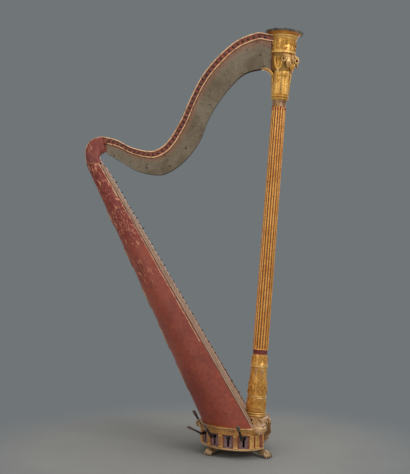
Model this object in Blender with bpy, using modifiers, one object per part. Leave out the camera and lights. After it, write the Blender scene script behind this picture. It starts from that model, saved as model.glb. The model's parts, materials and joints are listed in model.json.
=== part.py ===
"""A single-action pedal harp without its strings, as separate pieces at their real size.

Metres, +Z up. X runs from the player's side (-X) to the column (+X), the player's right is -Y,
and the origin is on the floor under the middle of the harp.
"""

import math

import bmesh
import bpy
from mathutils import Matrix, Vector

MM = 0.001
GAP = 0.3 * MM                # between pieces that touch

# Base: plan outline and heights
BASE_MID_X = 197 * MM         # where the base is widest
BASE_REAR = 169 * MM          # from there to the rearmost point
BASE_HALF_WIDTH = 187 * MM
BASE_FRONT = 70 * MM          # from the widest place to the straight front
BASE_CORNER_IN = 35 * MM      # how far the front corners draw in
PLINTH_Z = 33 * MM
PLINTH_HEIGHT = 9 * MM
WALL_HEIGHT = 51 * MM
FRIEZE_HEIGHT = 28 * MM
WALL = 12 * MM
DECK = 12 * MM
PLINTH_OUT = 5 * MM           # plinth beyond the wall
FRIEZE_OUT = 3 * MM           # frieze beyond the wall
LEDGE = 10 * MM               # that carries the deck inside the frieze
RIB_OUT = 5 * MM              # pilaster ribs, proud of the wall
RIB_WIDTH = 7.5 * MM
RIB_PITCH = 16.9 * MM         # across the front
RIB_PAIR = 1.35               # degrees from the middle of a pair of ribs to each of them
CONSOLE_HALF = 36 * MM        # scrolled bracket in front

# Feet
PAW_LENGTH = 74 * MM
PAW_WIDTH = 40 * MM
PAW_SWELL = 1.25              # roundness above, and below where the sole is flat
SOLE_SWELL = 2.2
PAW_PLACES = {                # contact point and heading of each paw
    "paw_front_right": (268 * MM, -138 * MM, -47),
    "paw_front_left": (268 * MM, 138 * MM, 47),
    "paw_rear_right": (76 * MM, -88 * MM, -138),
    "paw_rear_left": (76 * MM, 88 * MM, 138),
}

# Column: foot on the base, and lean towards the front
FOOT_X = 247 * MM
FOOT_RISE = 15 * MM           # column foot above the top of the base
LEAN = math.atan(0.0763)
FOOT_RADIUS = 44 * MM         # seat of the column on the mantle
MANTLE_PLAN = (               # half the mantle's plan, from the front to the soundboard
    (301, 0), (297, 30), (281, 52), (270, 80), (262, 115), (252, 138), (240, 146), (236, 128),
    (236, 85), (237, 45), (225, 36), (208, 21), (203, 0),
)
BORE = 20.8 * MM
COLUMN_BASE_LENGTH = 252 * MM
SHAFT_LENGTH = 1034 * MM
FLUTES = 16
SHAFT_LOW_RADIUS = 31.4 * MM
SHAFT_TOP_RADIUS = 28.5 * MM
BELL_LENGTH = 116 * MM
HEADS_LENGTH = 70 * MM
FRIEZE_BAND = 78 * MM
CROWN_HEIGHT = 16 * MM
CROWN_RADIUS = 79 * MM
POCKET_DEPTH_X = 38 * MM      # from the column's axis to the end of the neck
FIT = 0.5 * MM                # round the neck in its pocket
HORN_RADIUS = 12.5 * MM       # curl of a ram's horn

# Sound box: the soundboard's edge plane, the back ridge and the width
BODY_TOP_Z = 1160 * MM
BOARD_LOW_X = 222.7 * MM      # edge plane where it meets the base
BOARD_TOP_X = -381.6 * MM     # edge plane at the top
BACK_LOW_X = 30 * MM
BACK_TOP_X = -441.6 * MM
BODY_INSET = 6 * MM           # sound box within the base's side
BODY_LOW_HALF = BASE_HALF_WIDTH - BODY_INSET
BODY_TOP_HALF = 45 * MM
SHELL = 6 * MM
BOARD = 6 * MM
BINDING_WIDTH = 11 * MM
BINDING = 3.5 * MM
BAR = 7 * MM                  # string bar on the soundboard
BAR_LOW_HALF = 19 * MM
BAR_TOP_HALF = 11 * MM
PEG_RADIUS = 3.2 * MM
PEG_OUT = 5 * MM
SOUND_HOLES = 5
RIBS_IN_BODY = 3
BODY_RIB = 9 * MM

# Neck: outline points of the top edge and of the plates' lower edge, from column to shoulder
NECK_POINTS = (
    (326.4, 1682.4, 314.2, 1518.9),
    (289.4, 1687.0, 301.0, 1540.0),
    (250.0, 1690.0, 274.0, 1545.0),
    (170.0, 1658.0, 208.4, 1527.9),
    (95.0, 1595.0, 154.7, 1482.3),
    (32.0, 1519.0, 98.9, 1412.3),
    (-14.2, 1433.5, 56.0, 1339.0),
    (-55.8, 1339.0, 20.0, 1250.0),
    (-106.2, 1255.2, -40.3, 1171.8),
    (-150.0, 1219.0, -108.0, 1124.0),
    (-190.0, 1211.5, -162.0, 1115.0),
    (-258.4, 1227.9, -235.0, 1132.0),
    (-316.0, 1257.0, -300.0, 1169.0),
    (-372.0, 1271.0, -363.0, 1206.0),
)
NECK_STATIONS = 32
DRAWN_TOP = (-381.6, 1160)    # soundboard's top, for which the neck and the shoulder are drawn
NECK_SEAT = 2.5 * MM          # neck's top below the crown
CORE_HALF = 17 * MM           # wooden core between the plates
BAND_HALF = 24 * MM
BEAD_OUT = 2.8 * MM
BAND_DEPTH = 30 * MM
GROOVE = 3 * MM
PLATE = 2.2 * MM
PLATE_DROP = 4 * MM           # plates reach this far below the core
STRINGS = 43
PIN_RADIUS = 2.4 * MM
PIN_OUT = 14 * MM             # tuning pin beyond the groove's floor
DISC_RADIUS = 5 * MM          # fork discs on the left plate
PIN_FIRST = 0.045             # places of the first and last pin along the neck
PIN_LAST = 0.975
SHOULDER_OUTLINE = (          # outer and inner edge, from the neck to the sound box
    (-383.0, 1271.1, -373.0, 1204.0),
    (-413.9, 1261.3, -381.0, 1199.0),
    (-437.5, 1237.7, -385.0, 1190.9),
    (-445.3, 1208.0, -384.0, 1181.0),
    (-444.0, 1183.1, -379.0, 1172.0),
)

# Pedals: place round the base, heading of the stub outside it, rest angle of the folding tip
PEDALS = (
    ("right_1", -1, 24, 212, 28),
    ("right_2", -1, 46, 226, 54),
    ("right_3", -1, 67, 234, None),
    ("right_4", -1, 88, 240, 58),
    ("left_1", 1, 24, 142, 52),
    ("left_2", 1, 46, 134, 54),
    ("left_3", 1, 67, 126, 54),
)
ARM_Z = 82 * MM
ARM_HEIGHT = 10 * MM
ARM_THICK = 3.6 * MM
ROD_RADIUS = 1.9 * MM
ROD_CLEAR = 0.9 * MM          # between the rods and the bore
GUIDE_FIT = 0.25 * MM         # round a rod in its guides
ROD_RING = BORE - ROD_RADIUS - ROD_CLEAR
ROD_END = 20 * MM             # rods shorter than the column up to its crown
SHORT_ARM = 55 * MM
PIVOT_RADIUS = 2.4 * MM
RUNNING = 0.4 * MM            # clearance of pivots and hinges
SPRING_WIDTH = 4.6 * MM
CHEEK = 3 * MM
STUB = 14 * MM                # from the bend outside the wall to the tip's hinge
TIP_LENGTH = 70 * MM
TIP_THICK = 7 * MM
PRESS_DROP = 30 * MM          # room under the arm in its slot
SLOT_WIDTH = 9 * MM
NOTCH_WIDTH = 18 * MM
SLOT_PLATE = 2 * MM
SLOT_PLATE_WIDTH = 34 * MM

WALL_Z = PLINTH_Z + PLINTH_HEIGHT + GAP
FRIEZE_Z = WALL_Z + WALL_HEIGHT + GAP
TOP_Z = FRIEZE_Z + FRIEZE_HEIGHT
FOOT_Z = TOP_Z + FOOT_RISE
BODY_Z = TOP_Z + GAP
SLOT_TOP = ARM_Z + ARM_HEIGHT / 2 + 1.5 * MM
SLOT_LOW = ARM_Z - ARM_HEIGHT / 2 - PRESS_DROP
HUB = Vector((FOOT_X - (FOOT_Z - ARM_Z) * math.tan(LEAN), 0, ARM_Z))
SHAFT_S = COLUMN_BASE_LENGTH
BELL_S = SHAFT_S + SHAFT_LENGTH
HEADS_S = BELL_S + BELL_LENGTH
BAND_S = HEADS_S + HEADS_LENGTH
CROWN_S = BAND_S + FRIEZE_BAND
ROD_LENGTH = CROWN_S - ROD_END

MATERIALS = {                 # colour, roughness, metallic
    "red_paint": ((0.22, 0.065, 0.043), 0.45, 0.0),
    "old_gilding": ((0.50, 0.28, 0.09), 0.42, 0.6),
    "pale_gilding": ((0.42, 0.27, 0.14), 0.55, 0.3),
    "plate_metal": ((0.16, 0.13, 0.11), 0.5, 0.7),
    "iron": ((0.05, 0.04, 0.035), 0.55, 0.8),
    "spruce": ((0.40, 0.27, 0.16), 0.6, 0.0),
    "beech": ((0.30, 0.19, 0.11), 0.65, 0.0),
}


def clear_scene():
    """Removes whatever the scene holds."""
    for obj in list(bpy.data.objects):
        bpy.data.objects.remove(obj, do_unlink=True)


def collection(name):
    made = bpy.data.collections.new(name)
    bpy.context.scene.collection.children.link(made)
    return made


def material(name):
    """The named material, made at its first use."""
    if name in bpy.data.materials:
        return bpy.data.materials[name]
    colour, roughness, metallic = MATERIALS[name]
    made = bpy.data.materials.new(name)
    made.use_nodes = True
    shader = made.node_tree.nodes["Principled BSDF"]
    shader.inputs["Base Color"].default_value = (*colour, 1)
    shader.inputs["Roughness"].default_value = roughness
    shader.inputs["Metallic"].default_value = metallic
    return made


def add_object(name, data, finish, smooth=True):
    """A part in the harp's collection, or a cutter where the finish is None."""
    obj = bpy.data.objects.new(name, data)
    if finish is None:
        CUTTERS.objects.link(obj)
        obj.hide_render = True
        obj.display_type = "WIRE"
        return obj
    HARP.objects.link(obj)
    data.materials.append(material(finish))
    if smooth and isinstance(data, bpy.types.Mesh):
        data.shade_smooth()
        data.set_sharp_from_angle(angle=math.radians(35))
    return obj


def mesh_from(bm, name):
    bmesh.ops.recalc_face_normals(bm, faces=bm.faces)
    mesh = bpy.data.meshes.new(name)
    bm.to_mesh(mesh)
    bm.free()
    return mesh


def loft_into(bm, rings, loop=False):
    """A skin over rings of as many points each, capped at its ends or closed into a loop."""
    rows = [[bm.verts.new(point) for point in ring] for ring in rings]
    count = len(rows[0])
    pairs = list(zip(rows, rows[1:]))
    if loop:
        pairs.append((rows[-1], rows[0]))
    for low, high in pairs:
        for k in range(count):
            after = (k + 1) % count
            bm.faces.new((low[k], low[after], high[after], high[k]))
    if not loop:
        bm.faces.new(rows[0][::-1])
        bm.faces.new(rows[-1])


def loft(name, rings, finish, loop=False):
    bm = bmesh.new()
    loft_into(bm, rings, loop)
    return add_object(name, mesh_from(bm, name), finish)


def turned(name, profile, finish, steps=32):
    """A turned piece: the profile is a closed loop of (radius, height), down its outer side."""
    mesh = bpy.data.meshes.new(name)
    count = len(profile)
    edges = [(k, (k + 1) % count) for k in range(count)]
    if profile[0][0] == 0:
        edges.pop()
    mesh.from_pydata([(r, 0, z) for r, z in profile], edges, [])
    obj = add_object(name, mesh, finish, smooth=False)
    screw = obj.modifiers.new("turn", "SCREW")
    screw.steps = screw.render_steps = steps
    screw.use_merge_vertices = True
    screw.merge_threshold = 1e-5
    screw.use_smooth_shade = False
    return obj


def curve_to_mesh(curve_object, name, finish):
    """The curve's solid as a welded mesh object."""
    graph = bpy.context.evaluated_depsgraph_get()
    mesh = bpy.data.meshes.new_from_object(curve_object.evaluated_get(graph))
    mesh.transform(curve_object.matrix_world)
    bpy.data.objects.remove(curve_object, do_unlink=True)
    bm = bmesh.new()
    bm.from_mesh(mesh)
    bmesh.ops.remove_doubles(bm, verts=bm.verts, dist=1e-6)
    mesh.materials.clear()
    bm.normal_update()
    bm.to_mesh(mesh)
    bm.free()
    return add_object(name, mesh, finish)


def flat_piece(name, outlines, thickness, matrix, finish):
    """A plate cut to closed outlines, drawn flat and placed by the matrix at its middle."""
    curve = bpy.data.curves.new(name, "CURVE")
    curve.dimensions = "2D"
    curve.fill_mode = "BOTH"
    curve.extrude = thickness / 2
    for outline in outlines:
        spline = curve.splines.new("POLY")
        spline.points.add(len(outline) - 1)
        for point, (x, y) in zip(spline.points, outline):
            point.co = (x, y, 0, 1)
        spline.use_cyclic_u = True
    obj = bpy.data.objects.new(name, curve)
    HARP.objects.link(obj)
    obj.matrix_world = matrix
    bpy.context.view_layer.update()
    return curve_to_mesh(obj, name, finish)


def box_into(bm, low, high, matrix=Matrix()):
    low, high = Vector(low), Vector(high)
    place = Matrix.Translation((low + high) / 2) @ Matrix.Diagonal((*(high - low), 1))
    bmesh.ops.create_cube(bm, size=1, matrix=matrix @ place)


def cylinder_into(bm, radius, start, end, sides=10, matrix=Matrix()):
    """A round bar between two points."""
    start, end = Vector(start), Vector(end)
    along = end - start
    turn = Vector((0, 0, 1)).rotation_difference(along).to_matrix().to_4x4()
    place = Matrix.Translation((start + end) / 2) @ turn
    bmesh.ops.create_cone(bm, cap_ends=True, segments=sides, radius1=radius, radius2=radius,
                          depth=along.length, matrix=matrix @ place)


def solids(name, fill, finish):
    """An object whose mesh the given function fills."""
    bm = bmesh.new()
    fill(bm)
    return add_object(name, mesh_from(bm, name), finish)


def change(obj, tool, operation="DIFFERENCE"):
    """Cuts the tool from the object, or joins it on."""
    boolean = obj.modifiers.new(tool.name, "BOOLEAN")
    boolean.operation = operation
    boolean.object = tool
    boolean.solver = "EXACT"
    return obj


def settle(obj):
    """Makes the object's modifiers part of its mesh."""
    bpy.context.view_layer.update()
    graph = bpy.context.evaluated_depsgraph_get()
    mesh = bpy.data.meshes.new_from_object(obj.evaluated_get(graph))
    obj.modifiers.clear()
    obj.data = mesh
    mesh.shade_smooth()
    mesh.set_sharp_from_angle(angle=math.radians(35))
    return obj


def through_points(points, count):
    """Evenly numbered places on a smooth curve through the points."""
    ends = [points[0] * 2 - points[1]] + list(points) + [points[-1] * 2 - points[-2]]
    spans = len(points) - 1
    made = []
    for k in range(count):
        place = spans * k / (count - 1)
        span = min(int(place), spans - 1)
        t = place - span
        a, b, c, d = ends[span:span + 4]
        made.append((2 * b + (c - a) * t + (2 * a - 5 * b + 4 * c - d) * t ** 2
                     + (3 * b - a - 3 * c + d) * t ** 3) / 2)
    return made


def offset(points, distance):
    """The closed outline (anticlockwise) moved outwards by a distance."""
    made = []
    count = len(points)
    for k in range(count):
        before = (Vector(points[k]) - Vector(points[k - 1])).normalized()
        after = (Vector(points[(k + 1) % count]) - Vector(points[k])).normalized()
        side = Vector((before.y, -before.x)) + Vector((after.y, -after.x))
        side /= 1 + before.dot(after)
        made.append(Vector(points[k]) + side * distance)
    return made


def on_column(x, y, s):
    """A point of the column's own frame, where s runs up its axis from the foot."""
    return COLUMN_FRAME @ Vector((x, y, s))


# Base


def base_outline(outset=0.0):
    """The plan of the base's wall, anticlockwise: drawn-in front, half ellipse behind."""
    points = []
    front_steps = 4
    for k in range(front_steps + 1):
        t = k / front_steps
        points.append((BASE_MID_X + BASE_FRONT * t, -BASE_HALF_WIDTH + BASE_CORNER_IN * t ** 2))
    points += [(x, -y) for x, y in reversed(points)]
    rear_steps = 28
    for k in range(1, rear_steps):
        angle = math.pi * k / rear_steps
        points.append((BASE_MID_X - BASE_REAR * math.sin(angle), BASE_HALF_WIDTH * math.cos(angle)))
    return offset(points, outset)


def base_ring(name, profile, finish):
    """A moulding round the base, from a closed profile of (outset, height)."""
    rings = [[(p.x, p.y, z) for p in base_outline(out)] for out, z in profile]
    return loft(name, rings, finish, loop=True)


def wall_frame(angle, side):
    """A frame on the wall: its +X looks out of the wall, and its origin is on the outer face."""
    t = math.radians(angle)
    place = Vector((BASE_MID_X - BASE_REAR * math.cos(t), side * BASE_HALF_WIDTH * math.sin(t), 0))
    out = Vector((-math.cos(t) / BASE_REAR, side * math.sin(t) / BASE_HALF_WIDTH, 0)).normalized()
    return Matrix.Translation(place) @ Vector((1, 0, 0)).rotation_difference(out).to_matrix().to_4x4()


def heading(vector):
    return math.atan2(vector.y, vector.x)


def build_base():
    """Floor with plinth moulding, wall with its slots, ribs, plates, frieze and deck."""
    low, high = PLINTH_Z, PLINTH_Z + PLINTH_HEIGHT
    steps = ((PLINTH_OUT - 4 * MM, low), (PLINTH_OUT, low + 3 * MM), (PLINTH_OUT, high - 3 * MM),
             (PLINTH_OUT - 3 * MM, high))
    rings = [[(p.x, p.y, z) for p in base_outline(out)] for out, z in steps]
    loft("base_floor", rings, "pale_gilding")

    wall = base_ring("pedal_box_wall", ((0, WALL_Z), (0, WALL_Z + WALL_HEIGHT),
                                        (-WALL, WALL_Z + WALL_HEIGHT), (-WALL, WALL_Z)), "red_paint")
    seat = SLOT_PLATE + 1.5 * MM
    room = SLOT_PLATE_WIDTH / 2 - 4 * MM

    def cut_wall(bm):
        for _, side, angle, _, _ in PEDALS:
            frame = wall_frame(angle, side)
            half = SLOT_PLATE_WIDTH / 2 + GAP
            box_into(bm, (-seat, -half, WALL_Z - MM), (2 * WALL, half, FRIEZE_Z), frame)
            box_into(bm, (-3 * WALL, -room, SLOT_LOW - MM), (-seat + MM, room, SLOT_TOP + MM), frame)

    change(wall, union_self(solids("slot_cutter", cut_wall, None)))

    def slot_shapes(bm):
        for _, side, angle, _, _ in PEDALS:
            frame = wall_frame(angle, side)
            box_into(bm, (-WALL, -SLOT_WIDTH / 2, SLOT_LOW), (WALL, SLOT_WIDTH / 2, SLOT_TOP), frame)
            notch_low = ARM_Z - ARM_HEIGHT / 2 - 1.5 * MM
            box_into(bm, (-WALL, -NOTCH_WIDTH / 2, notch_low),
                     (WALL, NOTCH_WIDTH / 2, SLOT_TOP - 0.1 * MM), frame)

    notch_cutter = union_self(solids("notch_cutter", slot_shapes, None))
    for name, side, angle, _, _ in PEDALS:
        half = SLOT_PLATE_WIDTH / 2
        plate = solids("slot_plate_" + name, lambda bm: box_into(
            bm, (-seat + GAP, -half, WALL_Z + GAP),
            (-seat + GAP + SLOT_PLATE, half, WALL_Z + WALL_HEIGHT - GAP),
            wall_frame(angle, side)), "pale_gilding")
        change(plate, notch_cutter)

    def rib_shapes(bm):
        for angle, side in rib_places():
            box_into(bm, (-RIB_OUT, -RIB_WIDTH / 2, WALL_Z + MM),
                     (RIB_OUT, RIB_WIDTH / 2, WALL_Z + WALL_HEIGHT - MM), wall_frame(angle, side))
        for k in range(-8, 9):
            y = k * RIB_PITCH
            if abs(y) > CONSOLE_HALF + RIB_WIDTH:
                front = BASE_MID_X + BASE_FRONT
                box_into(bm, (front - RIB_OUT, y - RIB_WIDTH / 2, WALL_Z + MM),
                         (front + RIB_OUT, y + RIB_WIDTH / 2, WALL_Z + WALL_HEIGHT - MM))

    change(wall, solids("wall_ribs", rib_shapes, None), "UNION")

    inner = -WALL - FRIEZE_OUT
    deck_top = TOP_Z - 2 * MM
    frieze = base_ring("base_frieze", (
        (FRIEZE_OUT, FRIEZE_Z), (FRIEZE_OUT + 1.5 * MM, FRIEZE_Z + 3 * MM),
        (FRIEZE_OUT, FRIEZE_Z + 5 * MM), (FRIEZE_OUT + 1 * MM, TOP_Z - 6 * MM),
        (FRIEZE_OUT + 4 * MM, TOP_Z - 4 * MM), (FRIEZE_OUT + 4 * MM, TOP_Z - 1 * MM),
        (FRIEZE_OUT + 2 * MM, TOP_Z), (inner, TOP_Z), (inner, deck_top - DECK - GAP),
        (inner - LEDGE, deck_top - DECK - GAP), (inner - LEDGE, FRIEZE_Z)), "old_gilding")

    def rod_ways(bm):
        for _, side, angle, _, _ in PEDALS:
            x, y = rod_place(side, angle)
            cylinder_into(bm, ROD_RADIUS + 2 * RUNNING, on_column(x, y, -2 * WALL_HEIGHT),
                          on_column(x, y, FOOT_RISE), 12)

    change(frieze, union_self(solids("rod_ways", rod_ways, None)))

    edge = base_outline(inner - GAP)
    rings = [[(p.x, p.y, z) for p in edge] for z in (deck_top - DECK, TOP_Z)]
    deck = loft("base_deck", rings, "beech")
    hole = solids("rod_hole", lambda bm: cylinder_into(
        bm, BORE + 5 * MM, HUB, on_column(0, 0, FOOT_RISE), 24), None)
    change(deck, hole)


def union_self(obj):
    """Joins the object's own overlapping solids."""
    boolean = obj.modifiers.new("join", "BOOLEAN")
    boolean.operation = "DIFFERENCE"
    boolean.object = solids(obj.name + "_seed", lambda bm: cylinder_into(
        bm, MM, (0, 0, -2), (0, 0, -2 + MM), 6), None)
    boolean.solver = "EXACT"
    boolean.use_self = True
    return obj


def rib_places():
    """Angles of the wall's ribs, in pairs between the pedal slots and on round the sides."""
    slots = sorted({angle for _, _, angle, _, _ in PEDALS})
    places = []
    for side in (-1, 1):
        for first, second in zip([0] + slots, slots):
            middle = (first + second) / 2
            if first == 0:
                middle = second / 2.6
            for step in (-RIB_PAIR, RIB_PAIR):
                places.append((middle + step, side))
    return places


def build_console():
    """The scrolled bracket in front of the base."""
    front = BASE_MID_X + BASE_FRONT + FRIEZE_OUT + 4 * MM + 2 * GAP
    outline = [(front, 121), (front + 24 * MM, 121), (front + 31 * MM, 117), (front + 33 * MM, 110),
               (front + 28 * MM, 103), (front + 31 * MM, 94), (front + 31 * MM, 78),
               (front + 24 * MM, 66), (front + 13 * MM, 58), (front + 16 * MM, 50),
               (front + 11 * MM, 43.5), (front, 43.5)]
    points = through_points([Vector((x, z * MM)) for x, z in outline], 34)
    place = Matrix.Rotation(math.pi / 2, 4, "X")
    flat_piece("front_console", [points], 2 * CONSOLE_HALF, place, "old_gilding")


def build_column_mantle():
    """The carved mantle of leaves that rises from the deck to the column's foot."""
    half_plan = [Vector((x * MM, y * MM)) for x, y in MANTLE_PLAN]
    side = through_points(half_plan, 17)
    plan = side + [Vector((p.x, -p.y)) for p in reversed(side[1:-1])]
    count = len(plan)
    rise = FOOT_RISE - MM
    rings = [[], [], []]
    top_ring, bore_top, bore_low = [], [], []
    for k, point in enumerate(plan):
        angle = 2 * math.pi * k / count
        c, s = math.cos(angle), math.sin(angle)
        seat = Vector((FOOT_X + FOOT_RADIUS * c, FOOT_RADIUS * s))
        for ring, share, up in zip(rings, (0, 0.05, 0.55), (0.0, 0.45, 0.8)):
            spot = point.lerp(seat, share)
            ring.append((spot.x, spot.y, TOP_Z + GAP + rise * up))
        top_ring.append(on_column(FOOT_RADIUS * c, FOOT_RADIUS * s, -GAP))
        bore_top.append(on_column((BORE + 3 * MM) * c, (BORE + 3 * MM) * s, -GAP))
        bore_low.append((FOOT_X + (BORE + 4 * MM) * c - MM, (BORE + 4 * MM) * s, TOP_Z + GAP))
    loft("column_mantle", rings + [top_ring, bore_top, bore_low], "pale_gilding", loop=True)


def build_paws():
    """Four lion's paws, each a bent taper with a flat sole."""
    stations = (              # along the paw, height of the middle, half height, half width
        (-34, 25.0, 7.0, 13), (-20, 23.5, 9.0, 15), (-4, 20.0, 10.5, 16), (12, 15.0, 12.0, 18),
        (26, 12.5, 12.5, 20), (36, 10.0, 10.0, 19), (40, 8.5, 6.5, 15))
    reach = stations[-1][0] - stations[0][0]
    for name, (x, y, angle) in PAW_PLACES.items():
        rings = []
        for along, middle, half_high, half_wide in stations:
            ring = []
            for k in range(12):
                turn = 2 * math.pi * (k + 0.5) / 12
                swell = SOLE_SWELL if along > 0 and math.sin(turn) < 0 else PAW_SWELL
                z = max(0.0, (middle + swell * half_high * math.sin(turn)) * MM)
                side = half_wide / 20 * PAW_WIDTH / 2 * math.cos(turn)
                top = PLINTH_Z - GAP
                ring.append((along / reach * PAW_LENGTH, side, min(z, top)))
            rings.append(ring)
        paw = loft(name, rings, "pale_gilding")
        paw.location = (x, y, 0)
        paw.rotation_euler = (0, 0, math.radians(angle))


# Pedals


def pedal_layout(side, angle):
    """The pivot's frame, and the arm's reach from its pivot to just outside the wall."""
    bend = wall_frame(angle, side) @ Vector((5 * MM, 0, 0))
    out = Vector((bend.x - HUB.x, bend.y, 0))
    turn = heading(out)
    reach = out.length - ROD_RING - SHORT_ARM
    pivot = HUB + out.normalized() * (ROD_RING + SHORT_ARM)
    return Matrix.Translation(pivot) @ Matrix.Rotation(turn, 4, "Z"), turn, reach


def build_arm(name, side, angle, stub_heading, tip_rest):
    """One pedal's arm, standing on edge, with its pivot hole and hinge eye; and its tip."""
    frame, turn, reach = pedal_layout(side, angle)
    half = ARM_THICK / 2
    if tip_rest is None:
        ends = [Vector((-SHORT_ARM - 2 * MM, 0)), Vector((reach - 9 * MM, 0))]
    else:
        lean = math.radians(stub_heading) - turn
        lean = math.atan2(math.sin(lean), math.cos(lean))
        away = Vector((math.cos(lean), math.sin(lean)))
        hinge = Vector((reach, 0)) + away * STUB
        ends = [Vector((-SHORT_ARM - 2 * MM, 0)), Vector((reach, 0)), hinge + away * 5 * MM]
    left, right = [], []
    for k, point in enumerate(ends):
        before = (point - ends[k - 1]).normalized() if k else (ends[1] - point).normalized()
        after = (ends[k + 1] - point).normalized() if k + 1 < len(ends) else before
        across = Vector((-before.y - after.y, before.x + after.x)).normalized()
        left.append(point + across * half)
        right.append(point - across * half)
    arm = flat_piece("pedal_arm_" + name, [right + left[::-1]], ARM_HEIGHT, Matrix(), "iron")

    def holes(bm):
        cylinder_into(bm, PIVOT_RADIUS + RUNNING, (0, -0.03, 0), (0, 0.03, 0), 12)
        if tip_rest is not None:
            across = Vector((-away.y, away.x, 0)) * 0.01
            centre = Vector((hinge.x, hinge.y, 0))
            cylinder_into(bm, 1.8 * MM + RUNNING, centre - across, centre + across, 10)

    change(arm, solids("arm_holes_" + name, holes, None))
    settle(arm)
    arm.matrix_world = frame
    if tip_rest is None:
        return
    tip_frame = (frame @ Matrix.Translation((hinge.x, hinge.y, 0)) @ Matrix.Rotation(lean, 4, "Z")
                 @ Matrix.Rotation(-math.radians(tip_rest), 4, "Y"))
    inner = ARM_THICK / 2 + RUNNING
    outer = inner + CHEEK

    def tip_parts(bm):
        for low, high in ((-outer, -inner), (inner, outer)):
            cylinder_into(bm, TIP_THICK * 0.72, (0, low, 0), (0, high, 0), 8)
            box_into(bm, (0, low, -TIP_THICK / 2), (12 * MM, high, TIP_THICK / 2))
        box_into(bm, (9 * MM, -outer, -TIP_THICK / 2), (TIP_LENGTH - 22 * MM, outer, TIP_THICK / 2))
        box_into(bm, (TIP_LENGTH - 24 * MM, -outer - MM, -TIP_THICK / 2 - MM),
                 (TIP_LENGTH, outer + MM, TIP_THICK / 2 + MM))
        cylinder_into(bm, 1.8 * MM, (0, -outer + MM, 0), (0, outer - MM, 0), 6)

    tip = union_self(solids("pedal_tip_" + name, tip_parts, "iron"))
    settle(tip)
    tip.matrix_world = tip_frame


def build_bearing():
    """The iron frame on the base's floor: cheeks, pivot pins and coiled return springs."""
    floor = PLINTH_Z + PLINTH_HEIGHT + GAP
    near = ARM_THICK / 2 + RUNNING
    far = near + SPRING_WIDTH + RUNNING
    drop = floor - ARM_Z
    reach = ROD_RING + SHORT_ARM + 10 * MM

    def frame_parts(bm):
        box_into(bm, (HUB.x - reach, -reach, floor), (HUB.x, reach, floor + 4 * MM))
        for _, side, angle, _, _ in PEDALS:
            frame = pedal_layout(side, angle)[0]
            for low, high in ((-near - CHEEK, -near), (far, far + CHEEK)):
                box_into(bm, (-7 * MM, low, drop + MM), (7 * MM, high, 8 * MM), frame)
            cylinder_into(bm, PIVOT_RADIUS, (0, -near - CHEEK - MM, 0), (0, far + CHEEK + MM, 0), 8,
                          frame)
            cylinder_into(bm, 2.3 * PIVOT_RADIUS, (0, near + RUNNING, 0), (0, far + MM, 0), 8, frame)

    settle(union_self(solids("pedal_bearing", frame_parts, "iron")))


def rod_place(side, angle):
    """Where a pedal's rod stands in the column's own frame."""
    turn = pedal_layout(side, angle)[1]
    return ROD_RING * math.cos(turn), ROD_RING * math.sin(turn)


def build_rods():
    """A rod for each pedal, up the hollow column from the arm's inner end."""
    for name, side, angle, _, _ in PEDALS:
        x, y = rod_place(side, angle)
        floor = ARM_Z + ARM_HEIGHT / 2 + GAP
        low = (floor - FOOT_Z + x * math.sin(LEAN)) / math.cos(LEAN) + ROD_RADIUS * math.sin(LEAN)
        rod = solids("pedal_rod_" + name, lambda bm: cylinder_into(
            bm, ROD_RADIUS, (0, 0, 0), (0, 0, ROD_LENGTH), 8), "iron")
        rod.parent = COLUMN_AXIS
        rod.location = (x, y, low)


# Column


def on_axis(obj):
    obj.parent = COLUMN_AXIS
    return obj


def build_column():
    """Turned base, fluted shaft with its lower band, and the two rod guides inside."""
    profile = [(40, 0), (40, 19), (41, 20), (38.5, 70), (39.5, 73),
               (39.5, 84), (37, 87), (33.5, 198), (36.6, 201), (36.6, 209), (33, 212), (29, 249),
               (29, COLUMN_BASE_LENGTH / MM - GAP / MM)]
    outer = [(r * MM, z * MM) for r, z in reversed(profile)]
    bore = [(BORE, outer[-1][1]), (BORE, outer[0][1])]
    on_axis(turned("column_base", outer + bore, "old_gilding", 28))

    def ring(radius, z, depth=0.0):
        points = []
        for k in range(FLUTES * 4):
            dip = depth if k % 4 in (1, 2) else 0.0
            angle = 2 * math.pi * (k + 0.5) / (FLUTES * 4)
            points.append(((radius - dip) * math.cos(angle), (radius - dip) * math.sin(angle), z))
        return points

    low, high = SHAFT_S, SHAFT_S + SHAFT_LENGTH - GAP
    flute = 3 * MM
    rings = [ring(SHAFT_LOW_RADIUS - 2.9 * MM, low), ring(SHAFT_LOW_RADIUS - 2.9 * MM, low + 18 * MM),
             ring(SHAFT_LOW_RADIUS, low + 18.5 * MM, flute),
             ring(SHAFT_TOP_RADIUS, high - 29 * MM, flute * 0.8),
             ring(SHAFT_TOP_RADIUS, high - 27 * MM), ring(SHAFT_TOP_RADIUS, high),
             ring(BORE, high), ring(BORE, low)]
    on_axis(loft("column_shaft", rings, "old_gilding", loop=True))

    def guide_holes(bm):
        for _, side, angle, _, _ in PEDALS:
            x, y = rod_place(side, angle)
            reach = ROD_RADIUS + GUIDE_FIT
            frame = Matrix.Translation((x, y, 0)) @ Matrix.Rotation(math.atan2(y, x), 4, "Z")
            cylinder_into(bm, reach, (0, 0, 0), (0, 0, CROWN_S), 16, frame)
            box_into(bm, (0, -0.97 * reach, 0), (3 * reach, 0.97 * reach, CROWN_S), frame)

    holes = on_axis(union_self(solids("guide_holes", guide_holes, None)))
    for name, s in (("rod_guide_low", 110 * MM), ("rod_guide_high", SHAFT_S + SHAFT_LENGTH - 60 * MM)):
        guide = solids(name, lambda bm: cylinder_into(
            bm, BORE - GAP, (0, 0, s), (0, 0, s + 14 * MM), 32), "beech")
        change(on_axis(guide), holes)


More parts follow.
